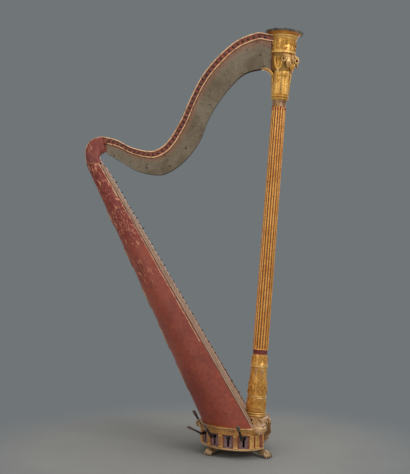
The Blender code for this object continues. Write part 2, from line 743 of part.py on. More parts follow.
def build_capital():
    """Bell, ram's heads with swags, frieze and flared crown, with a pocket for the neck."""
    pocket = on_axis(solids("neck_pocket", lambda bm: box_into(
        bm, (-0.12, -BAND_HALF - BEAD_OUT - FIT, HEADS_S - 22 * MM),
        (-POCKET_DEPTH_X, BAND_HALF + BEAD_OUT + FIT, CROWN_S - GAP / 3)), None))

    def piece(name, profile, start, length, steps=32):
        outer = [(r * MM, start + z * MM) for r, z in reversed(profile)]
        outer[0] = (outer[0][0], start + length - GAP)
        bore = [(BORE, start), (BORE, start + length - GAP)]
        return change(on_axis(turned(name, outer + bore, "old_gilding", steps)), pocket)

    piece("capital_bell", [(32, 0), (34, 2), (34, 20), (32, 23), (35, 24), (39.6, 114), (39.6, 116)],
          BELL_S, BELL_LENGTH, 24)
    heads = piece("capital_heads", [(41, 0), (45, 18), (47, 52), (44, 68), (44, 70)],
                  HEADS_S, HEADS_LENGTH, 24)
    piece("capital_frieze", [(50, 0), (52, 3), (52, 10), (49.5, 13), (49.5, 58), (53, 61), (53, 66),
                             (56, 69), (56, 76), (57, 78)], BAND_S, FRIEZE_BAND, 28)
    outer = [(0, CROWN_S + 10 * MM), (66 * MM, CROWN_S + 10 * MM),
             (CROWN_RADIUS - MM, CROWN_S + CROWN_HEIGHT),
             (CROWN_RADIUS, CROWN_S + CROWN_HEIGHT - 1.5 * MM), (70 * MM, CROWN_S + 4 * MM),
             (60 * MM, CROWN_S), (0, CROWN_S)]
    on_axis(turned("crown", outer, "old_gilding", 36))

    for k, angle in enumerate((0, math.pi / 2, -math.pi / 2)):
        change(heads, head_shape(k, angle), "UNION")
    settle(heads)


def head_shape(number, angle):
    """A ram's head with its two curled horns, looking out and down from the core."""
    turn = COLUMN_FRAME @ Matrix.Rotation(angle, 4, "Z")
    stations = ((0, 58, 9, 12), (9, 55, 12, 13), (16, 47, 10.5, 11), (21, 36, 7.5, 9), (24, 26, 5.5, 6.5))
    rings = []
    for out, high, half_wide, half_deep in stations:
        ring = []
        for k in range(10):
            t = 2 * math.pi * k / 10
            x = 40 + out - half_deep * 0.5 * math.sin(t)
            ring.append(turn @ Vector((x * MM, half_wide * math.cos(t) * MM,
                                       HEADS_S + (high + half_deep * math.sin(t) * 0.7) * MM)))
        rings.append(ring)
    head = loft(f"head_{number}", rings[::-1], None)
    for side in (-1, 1):
        horn = solids(f"horn_{number}_{side}", lambda bm: cylinder_into(
            bm, HORN_RADIUS, (47 * MM, side * 6 * MM, HEADS_S + 44 * MM),
            (51 * MM, side * 19 * MM, HEADS_S + 43 * MM), 14, turn), None)
        change(head, horn, "UNION")
    return head


# Sound box


def body_share(z):
    return (z - BODY_Z) / (BODY_TOP_Z - BODY_Z)


def body_at(z):
    """Edge plane, back ridge and half width of the sound box at a height."""
    t = body_share(z)
    return (BOARD_LOW_X + (BOARD_TOP_X - BOARD_LOW_X) * t, BACK_LOW_X + (BACK_TOP_X - BACK_LOW_X) * t,
            BODY_LOW_HALF + (BODY_TOP_HALF - BODY_LOW_HALF) * t)


def half_round(z, inset, count=24, trim=0.0):
    """Points round the back at a height, from the left edge of the soundboard to the right."""
    edge, back, half = body_at(z)
    reach, half = edge - back - inset * 1.1, half - inset
    points = []
    for k in range(count + 1):
        t = math.pi * k / count
        points.append(Vector((edge - trim - (reach - trim) * math.sin(t) ** 0.94,
                              half * math.copysign(abs(math.cos(t)) ** 0.94, math.cos(t)), z)))
    return points


def build_body():
    """Half-round back with its sound holes, ribs inside it, and the soundboard with its strips."""
    heights = [BODY_Z + (BODY_TOP_Z - BODY_Z) * k / 6 for k in range(7)]
    rings = [half_round(z, 0) + half_round(z, SHELL)[::-1] for z in heights]
    shell = loft("body_shell", rings, "red_paint")
    slope = math.atan((BACK_LOW_X - BACK_TOP_X) / (BODY_TOP_Z - BODY_Z))

    def holes(bm):
        for k in range(SOUND_HOLES):
            t = 0.17 + 0.155 * k
            z = BODY_Z + (BODY_TOP_Z - BODY_Z) * t
            edge, back, half = body_at(z)
            frame = Matrix.Translation((back, 0, z)) @ Matrix.Rotation(-slope, 4, "Y")
            high, wide = 0.062 - 0.007 * k, 0.2 * half
            ring = [(high * math.sin(a), wide * math.cos(a)) for a in
                    [2 * math.pi * n / 16 for n in range(16)]]
            loft_into(bm, [[frame @ Vector((x, y, v)) for v, y in ring] for x in (-0.03, 0.035)])

    change(shell, solids("sound_hole_cutter", holes, None))

    for k in range(RIBS_IN_BODY):
        z = BODY_Z + (BODY_TOP_Z - BODY_Z) * (0.25 + 0.155 * k)
        rows = [half_round(level, SHELL + 0.8 * MM, 16, MM)
                + half_round(level, SHELL + 11 * MM, 16, MM)[::-1]
                for level in (z - BODY_RIB / 2, z + BODY_RIB / 2)]
        loft(f"body_rib_{k + 1}", rows, "beech")
    board = board_frame()
    length = board_length()

    def strip(low_half, top_half, near, far, low=0.0, high=1.0):
        rows = []
        for t in (low, high):
            half = low_half + (top_half - low_half) * t
            rows.append([board @ Vector((near, -half, length * t)), board @ Vector((far, -half, length * t)),
                         board @ Vector((far, half, length * t)), board @ Vector((near, half, length * t))])
        return rows

    def soundboard(bm):
        loft_into(bm, strip(BODY_LOW_HALF, BODY_TOP_HALF, GAP, BOARD, -0.01))

    trim_low(solids("soundboard", soundboard, "spruce"))

    def bar(bm):
        loft_into(bm, strip(BAR_LOW_HALF, BAR_TOP_HALF, BOARD + GAP, BOARD + BAR, 0.045, 0.985))

    bar_object = trim_low(solids("string_bar", bar, "spruce"))

    for name, side in (("edge_binding_right", -1), ("edge_binding_left", 1)):
        rows = []
        for t in (-0.01, 1):
            half = BODY_LOW_HALF + (BODY_TOP_HALF - BODY_LOW_HALF) * t
            rows.append([board @ Vector((x, side * y, length * t)) for x, y in (
                (BOARD + GAP, half - BINDING_WIDTH), (BOARD + BINDING, half - BINDING_WIDTH),
                (BOARD + BINDING, half), (BOARD + GAP, half))])
        trim_low(loft(name, rows, "spruce"))

    def pegs(bm):
        for k in range(STRINGS):
            frame = board @ Matrix.Translation((BOARD + BAR, 0, peg_place(k) * length))
            cylinder_into(bm, PEG_RADIUS, (-PEG_OUT / 2, 0, 0), (PEG_OUT, 0, 0), 6, frame)

    change(bar_object, solids("string_pegs", pegs, None), "UNION")


def board_frame():
    """A frame on the soundboard's edge plane: +X out of the board, +Z up along it."""
    start = Vector((BOARD_LOW_X, 0, BODY_Z))
    along = (Vector((BOARD_TOP_X, 0, BODY_TOP_Z)) - start).normalized()
    across = Vector((0, 1, 0))
    out = across.cross(along)
    return Matrix.Translation(start) @ Matrix((out, across, along)).transposed().to_4x4()


def board_length():
    return (Vector((BOARD_TOP_X, 0, BODY_TOP_Z)) - Vector((BOARD_LOW_X, 0, BODY_Z))).length - 6 * MM


def peg_place(k):
    """Where string k is along the soundboard, closer together towards the treble."""
    t = k / (STRINGS - 1)
    return 0.075 + 0.89 * (1.07 * t - 0.07 * t ** 2)


def trim_low(obj):
    """Cuts off what would reach below the base's top or into the column's foot."""
    if "below_body" not in bpy.data.objects:
        solids("below_body", lambda bm: box_into(bm, (-0.3, -0.4, TOP_Z - 0.2), (0.6, 0.4, BODY_Z)), None)
        solids("foot_room", lambda bm: cylinder_into(
            bm, FOOT_RADIUS + 2 * MM, on_column(0, 0, -0.05), on_column(0, 0, 0.1), 32), None)
    change(obj, bpy.data.objects["below_body"])
    return change(obj, bpy.data.objects["foot_room"])


# Neck


def neck_lines():
    """The neck's top edge and the plates' lower edge, stretched between the column and sound box."""
    seat_top = on_column(-POCKET_DEPTH_X - GAP, 0, CROWN_S - NECK_SEAT)
    first, last = NECK_POINTS[0], NECK_POINTS[-1]
    end = Vector((last[0], last[1])) * MM + body_top_shift()
    start = Vector((seat_top.x, seat_top.z))
    wide = (start.x - end.x) / ((first[0] - last[0]) * MM)
    tall = (start.y - end.y) / ((first[1] - last[1]) * MM)
    top, low = [], []
    for tx, tz, bx, bz in NECK_POINTS:
        spot = Vector((end.x + (tx - last[0]) * MM * wide, end.y + (tz - last[1]) * MM * tall))
        top.append(spot)
        low.append(spot + Vector((bx - tx, bz - tz)) * MM)
    return through_points(top, NECK_STATIONS), through_points(low, NECK_STATIONS)


def body_top_shift():
    """How far the sound box's top lies from the place that the outlines were drawn for."""
    return Vector((BOARD_TOP_X, BODY_TOP_Z)) - Vector(DRAWN_TOP) * MM


def neck_ring(top, low):
    """The neck's section: a grooved band with two beads over a thinner core."""
    down = (low - top).normalized()
    depth = (low - top).length - PLATE_DROP
    bead = BAND_HALF + BEAD_OUT
    half = ((0, BAND_HALF - 3 * MM), (1.5 * MM, bead), (4.5 * MM, bead), (6 * MM, BAND_HALF - GROOVE),
            (BAND_DEPTH - 6 * MM, BAND_HALF - GROOVE), (BAND_DEPTH - 4.5 * MM, bead),
            (BAND_DEPTH - 1.5 * MM, bead), (BAND_DEPTH, BAND_HALF - 3 * MM), (BAND_DEPTH, CORE_HALF),
            (depth, CORE_HALF))
    loop = [(u, v) for u, v in half] + [(u, -v) for u, v in reversed(half)]
    return [Vector((top.x + down.x * u, v, top.y + down.y * u)) for u, v in loop]


def pin_places():
    """Where each tuning pin crosses the neck, with the way down the neck there."""
    top, low = neck_lines()
    lengths = [0.0]
    for a, b in zip(top, top[1:]):
        lengths.append(lengths[-1] + (b - a).length)
    places = []
    for k in range(STRINGS):
        t = k / (STRINGS - 1)
        want = lengths[-1] * (PIN_FIRST + (PIN_LAST - PIN_FIRST) * (1.15 * t - 0.15 * t ** 2))
        n = max(i for i in range(len(lengths)) if lengths[i] <= want)
        n = min(n, len(top) - 2)
        share = (want - lengths[n]) / (lengths[n + 1] - lengths[n])
        edge = top[n].lerp(top[n + 1], share)
        other = low[n].lerp(low[n + 1], share)
        places.append((edge, (other - edge).normalized(), (other - edge).length))
    return places


def build_neck():
    """Wooden neck, both action plates, shoulder block and all the pins, discs and screws."""
    top, low = neck_lines()
    neck = loft("neck", [neck_ring(a, b) for a, b in zip(top, low)], "red_paint")
    pins = pin_places()
    middle = BAND_DEPTH / 2
    floor = BAND_HALF - GROOVE

    def at_pin(place, depth):
        edge, down, _ = place
        point = edge + down * depth
        return point.x, point.y

    def tuning_pins(bm):
        for place in pins:
            x, z = at_pin(place, middle)
            cylinder_into(bm, PIN_RADIUS, (x, -floor - PIN_OUT * 0.6, z), (x, floor + PIN_OUT, z), 6)

    change(neck, solids("tuning_pins", tuning_pins, None), "UNION")
    plates = []
    for name, side in (("action_plate_right", -1), ("action_plate_left", 1)):
        upper, lower = [], []
        for a, b in zip(top[1:-1], low[1:-1]):
            down = (b - a).normalized()
            upper.append(a + down * (BAND_DEPTH + GAP))
            lower.append(b)
        y = side * (CORE_HALF + GAP + PLATE / 2)
        place = Matrix.Translation((0, y, 0)) @ Matrix.Rotation(math.pi / 2, 4, "X")
        plates.append(flat_piece(name, [upper + lower[::-1]], PLATE, place, "plate_metal"))

    def fork_discs(bm):
        face = CORE_HALF + GAP + PLATE
        for place in pins[1:-1]:
            x, z = at_pin(place, BAND_DEPTH + (place[2] - BAND_DEPTH) * 0.42)
            cylinder_into(bm, DISC_RADIUS, (x, face - PLATE / 2, z), (x, face + 3 * MM, z), 6)

    change(plates[1], solids("fork_discs", fork_discs, None), "UNION")
    build_shoulder(top[-1], low[-1])


def build_shoulder(top, low):
    """The block that turns the neck's end down on to the sound box."""
    shift = body_top_shift()
    front_x = BOARD_TOP_X + BOARD * 1.16
    seat = BODY_TOP_Z + GAP
    inward = low + (top - low).normalized() * PLATE_DROP
    aside = Vector((-GAP, 0))
    pairs = [(top + aside, inward + aside)]
    pairs += [(Vector((a * MM, b * MM)) + shift, Vector((c * MM, d * MM)) + shift)
              for a, b, c, d in SHOULDER_OUTLINE]
    pairs.append((Vector((BACK_TOP_X, seat)), Vector((front_x, seat))))
    rings = []
    for k, (outer, inner) in enumerate(pairs):
        t = k / (len(pairs) - 1)
        half = BAND_HALF + BEAD_OUT + (BODY_TOP_HALF - BAND_HALF - BEAD_OUT) * t ** 1.5
        ring = []
        for share, wide in ((0, 0.72), (0.04, 0.9), (0.2, 1), (0.8, 1), (0.96, 0.9), (1, 0.72)):
            point = outer.lerp(inner, share)
            ring.append(Vector((point.x, half * wide, point.y)))
        ring += [Vector((p.x, -p.y, p.z)) for p in reversed(ring)]
        rings.append(ring)
    loft("shoulder_block", rings, "red_paint")


clear_scene()
HARP = collection("pedal_harp")
CUTTERS = collection("cutters")
COLUMN_AXIS = bpy.data.objects.new("column_axis", None)
HARP.objects.link(COLUMN_AXIS)
COLUMN_AXIS.location = (FOOT_X, 0, FOOT_Z)
COLUMN_AXIS.rotation_euler = (0, LEAN, 0)
COLUMN_FRAME = Matrix.Translation((FOOT_X, 0, FOOT_Z)) @ Matrix.Rotation(LEAN, 4, "Y")

build_base()
build_console()
build_column_mantle()
build_paws()
for pedal in PEDALS:
    build_arm(*pedal)
build_bearing()
build_rods()
build_column()
build_capital()
build_body()
build_neck()
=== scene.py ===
"""Looks of an old pedal harp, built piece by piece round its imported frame.

Lengths are millimetres until a piece is finished. X runs from the player to the column, the
player's right is -Y, and the floor is at Z = 0.
"""

import json
import logging
from collections.abc import Callable, Sequence
from dataclasses import dataclass
from enum import Enum
from math import atan, atan2, copysign, cos, pi, radians, sin, sqrt

import bmesh
import bpy
from mathutils import Matrix, Vector


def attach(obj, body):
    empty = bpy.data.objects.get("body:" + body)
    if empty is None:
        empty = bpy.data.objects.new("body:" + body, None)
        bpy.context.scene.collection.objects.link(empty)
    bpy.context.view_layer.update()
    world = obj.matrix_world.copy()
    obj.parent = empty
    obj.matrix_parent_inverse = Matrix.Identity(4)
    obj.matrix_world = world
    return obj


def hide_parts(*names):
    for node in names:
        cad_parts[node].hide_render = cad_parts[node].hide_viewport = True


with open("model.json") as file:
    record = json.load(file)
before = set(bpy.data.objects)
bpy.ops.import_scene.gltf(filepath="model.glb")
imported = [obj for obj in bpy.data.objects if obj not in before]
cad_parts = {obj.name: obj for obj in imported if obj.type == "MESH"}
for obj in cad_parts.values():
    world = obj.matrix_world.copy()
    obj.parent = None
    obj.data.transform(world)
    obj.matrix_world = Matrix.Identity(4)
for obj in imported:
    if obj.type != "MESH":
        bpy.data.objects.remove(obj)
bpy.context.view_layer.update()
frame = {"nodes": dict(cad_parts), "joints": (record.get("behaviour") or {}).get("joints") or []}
LOG = logging.getLogger("harp")

MM = 0.001
LEAN = atan(0.0763)                   # of the column, from upright
FOOT = Vector((247.0, 0.0, 136.6))    # of the column, on its axis
AXIS = Matrix.Translation(FOOT) @ Matrix.Rotation(LEAN, 4, "Y")
BORE = 20.8                           # radius of the column's hollow
ROUND = 0.94                          # how full the sound box's back is; 1 is an ellipse
OUT = Vector((1.0, 0.0, 0.0))
ACROSS = Vector((0.0, 1.0, 0.0))
UP = Vector((0.0, 0.0, 1.0))
CREASE = 40.0                         # degrees; a sharper edge stays sharp

Colour = tuple[float, float, float, float]
Profile = Sequence[tuple[float, float]]
Rows = tuple[tuple[float, ...], ...]
Mark = Callable[[int, int], float]
Rule = Callable[[float], float]
Triple = tuple[float, float, float]
Lamp = tuple[str, Triple, float, float]


def tone(red: float, green: float, blue: float) -> Colour:
    """Linear colour of the usual values from 0 to 255.

    Args:
        red: of the colour.
        green: of the colour.
        blue: of the colour.

    Returns:
        Red, green, blue and alpha.
    """
    def linear(value: float) -> float:
        """One channel, with its display curve undone."""
        share = value / 255
        return share / 12.92 if share <= 0.04045 else ((share + 0.055) / 1.055) ** 2.4
    return (linear(red), linear(green), linear(blue), 1.0)


# Node trees


class Wire:
    """An output of a node. Arithmetic on it adds Math nodes to its tree."""

    def __init__(self, net: "Net", socket: bpy.types.NodeSocket) -> None:
        """Keeps the tree and the output."""
        self.net = net
        self.socket = socket

    def __add__(self, other: "Wire | float") -> "Wire":
        """Sum."""
        return self.net.math("ADD", self, other)

    __radd__ = __add__

    def __mul__(self, other: "Wire | float") -> "Wire":
        """Product."""
        return self.net.math("MULTIPLY", self, other)

    __rmul__ = __mul__

    def __sub__(self, other: "Wire | float") -> "Wire":
        """Difference."""
        return self.net.math("SUBTRACT", self, other)

    def __rsub__(self, other: float) -> "Wire":
        """Difference from a number."""
        return self.net.math("SUBTRACT", other, self)

    def __truediv__(self, other: "Wire | float") -> "Wire":
        """Quotient."""
        return self.net.math("DIVIDE", self, other)

    def __pow__(self, other: float) -> "Wire":
        """Power."""
        return self.net.math("POWER", self, other)


class Net:
    """A node tree written as Python expressions."""

    def __init__(self, tree: bpy.types.NodeTree) -> None:
        """Starts on an emptied tree."""
        tree.nodes.clear()
        self.tree = tree

    def node(self, kind: str, settings: dict | None = None,
             sockets: dict | None = None) -> bpy.types.Node:
        """Adds a node.

        Args:
            kind: the node's type.
            settings: its properties, set first.
            sockets: values or wires by the input's name or number.

        Returns:
            The node.
        """
        made = self.tree.nodes.new(kind)
        for name, value in (settings or {}).items():
            setattr(made, name, value)
        for name, value in (sockets or {}).items():
            if isinstance(value, Wire):
                self.tree.links.new(value.socket, made.inputs[name])
            else:
                made.inputs[name].default_value = value
        return made

    def wire(self, kind: str, settings: dict | None = None, sockets: dict | None = None,
             output: int | str = 0) -> Wire:
        """An output of a new node."""
        return Wire(self, self.node(kind, settings, sockets).outputs[output])

    def math(self, operation: str, *terms: Wire | float) -> Wire:
        """A Math node's result."""
        return self.wire("ShaderNodeMath", {"operation": operation}, dict(enumerate(terms)))

    def most(self, first: Wire, *others: Wire | float) -> Wire:
        """The greatest of several.

        Args:
            first: one of them.
            others: the rest.

        Returns:
            The greatest value at each point.
        """
        for other in others:
            first = self.math("MAXIMUM", first, other)
        return first

    def vector(self, operation: str, first: Wire, second: Sequence[float] | Wire) -> Wire:
        """A Vector Math node's result."""
        return self.wire("ShaderNodeVectorMath", {"operation": operation}, {0: first, 1: second})

    def step(self, value: Wire, low: float, high: float) -> Wire:
        """A soft step from 0 at low to 1 at high."""
        return self.wire("ShaderNodeMapRange", {"interpolation_type": "SMOOTHSTEP"},
                         {0: value, 1: low, 2: high, 3: 0.0, 4: 1.0})

    def blend(self, first: Wire | Colour, second: Wire | Colour, share: Wire | float) -> Wire:
        """A colour between two."""
        return self.wire("ShaderNodeMix", {"data_type": "RGBA"}, {0: share, 6: first, 7: second}, 2)


class Shade(Net):
    """A material's tree, with the patterns that the finishes share."""

    def __init__(self, tree: bpy.types.NodeTree) -> None:
        """Reads the place on the piece, the height and the mark.

        Args:
            tree: the material's node tree.
        """
        super().__init__(tree)
        self.place = self.wire("ShaderNodeTexCoord", output="Object")
        self.height = self.wire("ShaderNodeSeparateXYZ", sockets={0: self.place}, output=2)
        self.mark = self.wire("ShaderNodeAttribute", {"attribute_name": "mark"}, output="Fac")

    def stretched(self, scale: Sequence[float], turn: float = 0.0) -> Wire:
        """The place, turned round Y and then scaled along each axis.

        Args:
            scale: along each axis.
            turn: in radians.

        Returns:
            The place for a noise of size 1.
        """
        turned = self.wire("ShaderNodeVectorRotate", {"rotation_type": "Y_AXIS"},
                           {"Vector": self.place, "Angle": turn}) if turn else self.place
        return self.vector("MULTIPLY", turned, scale)

    def cloud(self, scale: float, detail: float = 3.0, rough: float = 0.55,
              place: Wire | None = None, bend: float = 0.0) -> Wire:
        """A noise from 0 to 1.

        Args:
            scale: how many lumps to a metre.
            detail: how many finer layers.
            rough: how strong those are.
            place: where it is read, if not on the piece.
            bend: how much it swirls.

        Returns:
            The noise.
        """
        return self.wire("ShaderNodeTexNoise", None,
                         {"Vector": place or self.place, "Scale": scale, "Detail": detail,
                          "Roughness": rough, "Distortion": bend})

    def patches(self, low: float, high: float, *sizes: float | Wire, bend: float = 0.0) -> Wire:
        """Soft-edged patches: a step from low to high on a cloud of these sizes."""
        return self.step(self.cloud(*sizes, bend=bend), low, high)

    def layered(self, colour: Wire, *layers: tuple[Wire | Colour, Wire]) -> Wire:
        """The colour under some layers.

        Args:
            colour: the ground.
            layers: each with its share, the lowest first.

        Returns:
            The colour that is seen.
        """
        for layer, share in layers:
            colour = self.blend(colour, layer, share)
        return colour

    def hollow(self, reach: float) -> Wire:
        """The depth in a recess of the piece.

        Args:
            reach: how far it looks, in metres.

        Returns:
            1 deep in a recess, 0 in the open.
        """
        open_share = self.wire("ShaderNodeAmbientOcclusion", {"samples": 6, "only_local": True},
                               {"Distance": reach}, "AO")
        return 1 - open_share

    def surface(self, colour: Wire, roughness: Wire | float, metallic: Wire | float, relief: Wire,
                depth: float, coat: float = 0.0) -> None:
        """Joins the finish to the material's output.

        Args:
            colour: base colour.
            roughness: of the surface.
            metallic: share of metal.
            relief: height of the fine relief, about 0 to 1.
            depth: what 1 of that is, in metres.
            coat: weight of a varnish coat.
        """
        bump = self.wire("ShaderNodeBump", None,
                         {"Strength": 0.6, "Distance": depth, "Height": relief})
        shader = self.wire("ShaderNodeBsdfPrincipled", None,
                           {"Base Color": colour, "Roughness": roughness, "Metallic": metallic,
                            "Coat Weight": coat, "Coat Roughness": 0.25, "Normal": bump})
        self.node("ShaderNodeOutputMaterial", None, {"Surface": shader})


# Finishes


@dataclass(frozen=True)
class Finish:
    """A finish of the harp's surfaces, with the name of a slot of the record."""

    name: str
    slot: str

    def material(self) -> bpy.types.Material:
        """The material, made at its first use.

        Returns:
            The material, whose name starts with finish_.
        """
        name = "finish_" + self.name
        if name not in bpy.data.materials:
            made = bpy.data.materials.new(name)
            made.use_nodes = True
            self.write(Shade(made.node_tree))
        return bpy.data.materials[name]

    def write(self, shade: Shade) -> None:
        """Fills the tree."""
        raise NotImplementedError


@dataclass(frozen=True)
class Paint(Finish):
    """Old oil paint: mottled, scratched and chipped, gilded where the mark says so."""

    light: Colour
    dark: Colour
    chip: Colour = tone(228, 158, 124)
    strong: Colour = tone(122, 30, 22)    # deeper red beside the chips
    gilt: Colour = tone(206, 172, 132)
    bare: Colour = tone(164, 100, 66)
    worn_from: float = 0.66       # metres above the floor where the heavy wear starts
    worn_to: float = 0.92
    least_wear: float = 0.12

    def write(self, shade: Shade) -> None:
        """Mottling, dark stains, long chips along the slant, specks, gilded edges and painted shade
        in the recesses.

        Args:
            shade: the material's tree.
        """
        along = shade.stretched((125.0, 80.0, 28.0), radians(27))
        level = shade.height + (shade.cloud(6.0, 3.0) - 0.5) * 0.9
        wear = shade.step(level, self.worn_from, self.worn_to) * 0.9 + self.least_wear
        broad = shade.cloud(5.0, 4.0, 0.6)
        fine = shade.cloud(70.0, 4.0, 0.65)
        colour = shade.blend(self.dark, self.light,
                             shade.step(broad * 0.6 + fine * 0.4, 0.36, 0.62))
        deep = shade.patches(0.34, 0.5, 13.0, 4.0, 0.6) * wear * 0.9
        stain = shade.patches(0.52, 0.70, 9.0, 5.0, 0.7, bend=0.6) * (0.3 + wear * 0.4)
        patch = shade.patches(0.42, 0.56, 9.0, 3.0) * wear
        flakes = shade.patches(0.575, 0.59, 1.0, 5.0, 0.66, along, bend=0.6)
        flakes *= shade.step(patch, 0.15, 0.5)
        small = shade.patches(0.60, 0.62, 2.4, 4.0, 0.6, along, bend=0.5) * wear
        rub = shade.patches(0.53, 0.66, 26.0, 5.0, 0.72) * wear
        specks = shade.patches(0.70, 0.72, 150.0, 2.0) * (wear * 0.5 + 0.45)
        chips = shade.most(flakes, small, specks)
        gold = shade.blend(self.gilt, tone(158, 104, 62), shade.patches(0.45, 0.66, 38.0, 5.0, 0.7))
        # the last layer is painted shade: darker where occlusion finds a recess
        colour = shade.layered(
            colour, (self.strong, deep), (tone(70, 28, 26), stain), (self.bare, rub * 0.5),
            (self.chip, chips * 0.92), (gold, shade.step(shade.mark + fine * 0.35, 0.52, 0.72)),
            (tone(42, 20, 16), shade.hollow(0.008) * 0.7))
        relief = fine * 0.4 - chips * 0.8 + broad * 0.3
        shade.surface(colour, fine * 0.3 + rub * 0.3 + 0.36, 0.0, relief, 0.0006)


@dataclass(frozen=True)
class Gilding(Finish):
    """Old gilding: bright on the high places, rubbed to bole and gesso, dark in the recesses."""

    bright: Colour
    deep: Colour
    bole: Colour = tone(128, 66, 40)
    gesso: Colour = tone(196, 172, 140)
    # colour of the painted shade in the recesses, and of the dark specks
    crevice: Colour = tone(66, 38, 20)
    lit: Colour = tone(236, 194, 118)
    metal: float = 0.42
    rubbed: float = 0.5           # how much of the bole shows
    chalky: float = 0.25          # how much of the gesso shows
    punched: float = 0.35         # strength of the fine dark specks
    reach: float = 0.007          # metres that the painted shade in the recesses spreads

    def write(self, shade: Shade) -> None:
        """Two golds, rubbed patches, painted shade in the recesses, darkening where the mark is
        above 0, and light where the mark is below 0.

        Args:
            shade: the material's tree.
        """
        fine = shade.cloud(150.0, 4.0, 0.65)
        broad = shade.cloud(24.0, 4.0, 0.6, bend=0.5)
        colour = shade.blend(self.deep, self.bright,
                             shade.step(broad * 0.65 + fine * 0.35, 0.35, 0.62))
        rub = shade.patches(0.66 - 0.14 * self.rubbed, 0.74, 52.0, 5.0, 0.7) * 0.8
        chalk = shade.patches(0.72 - 0.2 * self.chalky, 0.78, 33.0, 5.0, 0.7, bend=0.8) * 0.85
        # painted shade: occlusion in the recesses, with the mark above 0 darkening as well
        hollow = shade.most(shade.step(shade.hollow(self.reach), 0.10, 0.75), shade.mark)
        specks = shade.patches(0.50, 0.66, 210.0, 3.0, 0.6) * self.punched
        colour = shade.layered(
            colour, (self.lit, shade.step(0 - shade.mark, 0.1, 0.9) * 0.8), (self.crevice, specks),
            (self.bole, rub), (self.gesso, chalk), (self.crevice, hollow * 0.85))
        worn = shade.most(rub, chalk)
        metallic = self.metal * (1 - worn) * (1 - hollow * 0.7)
        shade.surface(colour, fine * 0.22 + worn * 0.3 + 0.26, metallic, fine * 0.6 + broad * 0.4,
                      0.0005, coat=0.1)


@dataclass(frozen=True)
class Metal(Finish):
    """Bare metal, dulled and spotted by age.

    A mark above 0 adds the spot colour as painted shade, one below 0 the warm colour.
    """

    bright: Colour
    dull: Colour
    spot: Colour
    metal: float = 0.8
    spotted: float = 0.3
    spot_scale: float = 62.0
    warm: Colour = tone(150, 98, 74)

    def write(self, shade: Shade) -> None:
        """Cloudy tarnish with small spotting, and painted shade in the recesses and where the mark
        is above 0.

        Args:
            shade: the material's tree.
        """
        broad = shade.cloud(9.0, 5.0, 0.65, bend=0.7)
        fine = shade.cloud(120.0, 4.0, 0.7)
        colour = shade.blend(self.dull, self.bright,
                             shade.step(broad * 0.7 + fine * 0.3, 0.38, 0.62))
        low = 0.74 - 0.18 * self.spotted
        colour = shade.blend(colour, self.warm, shade.step(fine * 0.4 - shade.mark, 0.1, 1.1) * 0.6)
        spots_and_shade = shade.patches(low, low + 0.06, self.spot_scale, 4.0, 0.6)
        # the mark above 0 and the occlusion in the recesses add painted shade in the spot colour
        spots_and_shade = shade.most(spots_and_shade, shade.mark)
        colour = shade.blend(colour, self.spot, shade.most(spots_and_shade, shade.hollow(0.004)) * 0.85)
        shade.surface(colour, broad * 0.25 + spots_and_shade * 0.3 + 0.28, self.metal * (1 - spots_and_shade * 0.8),
                      fine * 0.5 - spots_and_shade * 0.4, 0.0003)


@dataclass(frozen=True)
class Wood(Finish):
    """Planed wood with its grain along one direction of the harp."""

    light: Colour
    dark: Colour
    grain: Triple = (260.0, 260.0, 9.0)
    turn: float = 30.0            # degrees round Y from straight up
    gloss: float = 0.45

    def write(self, shade: Shade) -> None:
        """Grain lines, long streaks, grime patches and painted shade in the recesses.

        Args:
            shade: the material's tree.
        """
        lines = shade.cloud(1.0, 4.0, 0.6, shade.stretched(self.grain, radians(self.turn)), 0.3)
        broad = shade.cloud(12.0, 4.0, 0.65)
        colour = shade.blend(self.dark, self.light,
                             shade.step(lines * 0.7 + broad * 0.3, 0.34, 0.62))
        dirt_and_shade = shade.patches(0.60, 0.76, 31.0, 5.0, 0.7) * 0.7
        # occlusion adds painted shade in the recesses
        dirt_and_shade = shade.most(dirt_and_shade, shade.hollow(0.01)) * 0.8
        colour = shade.layered(colour, (tone(52, 38, 28), dirt_and_shade), (tone(28, 20, 16), shade.mark))
        shade.surface(colour, broad * 0.2 + (1 - self.gloss) * 0.7, 0.0, lines, 0.0003, coat=0.08)


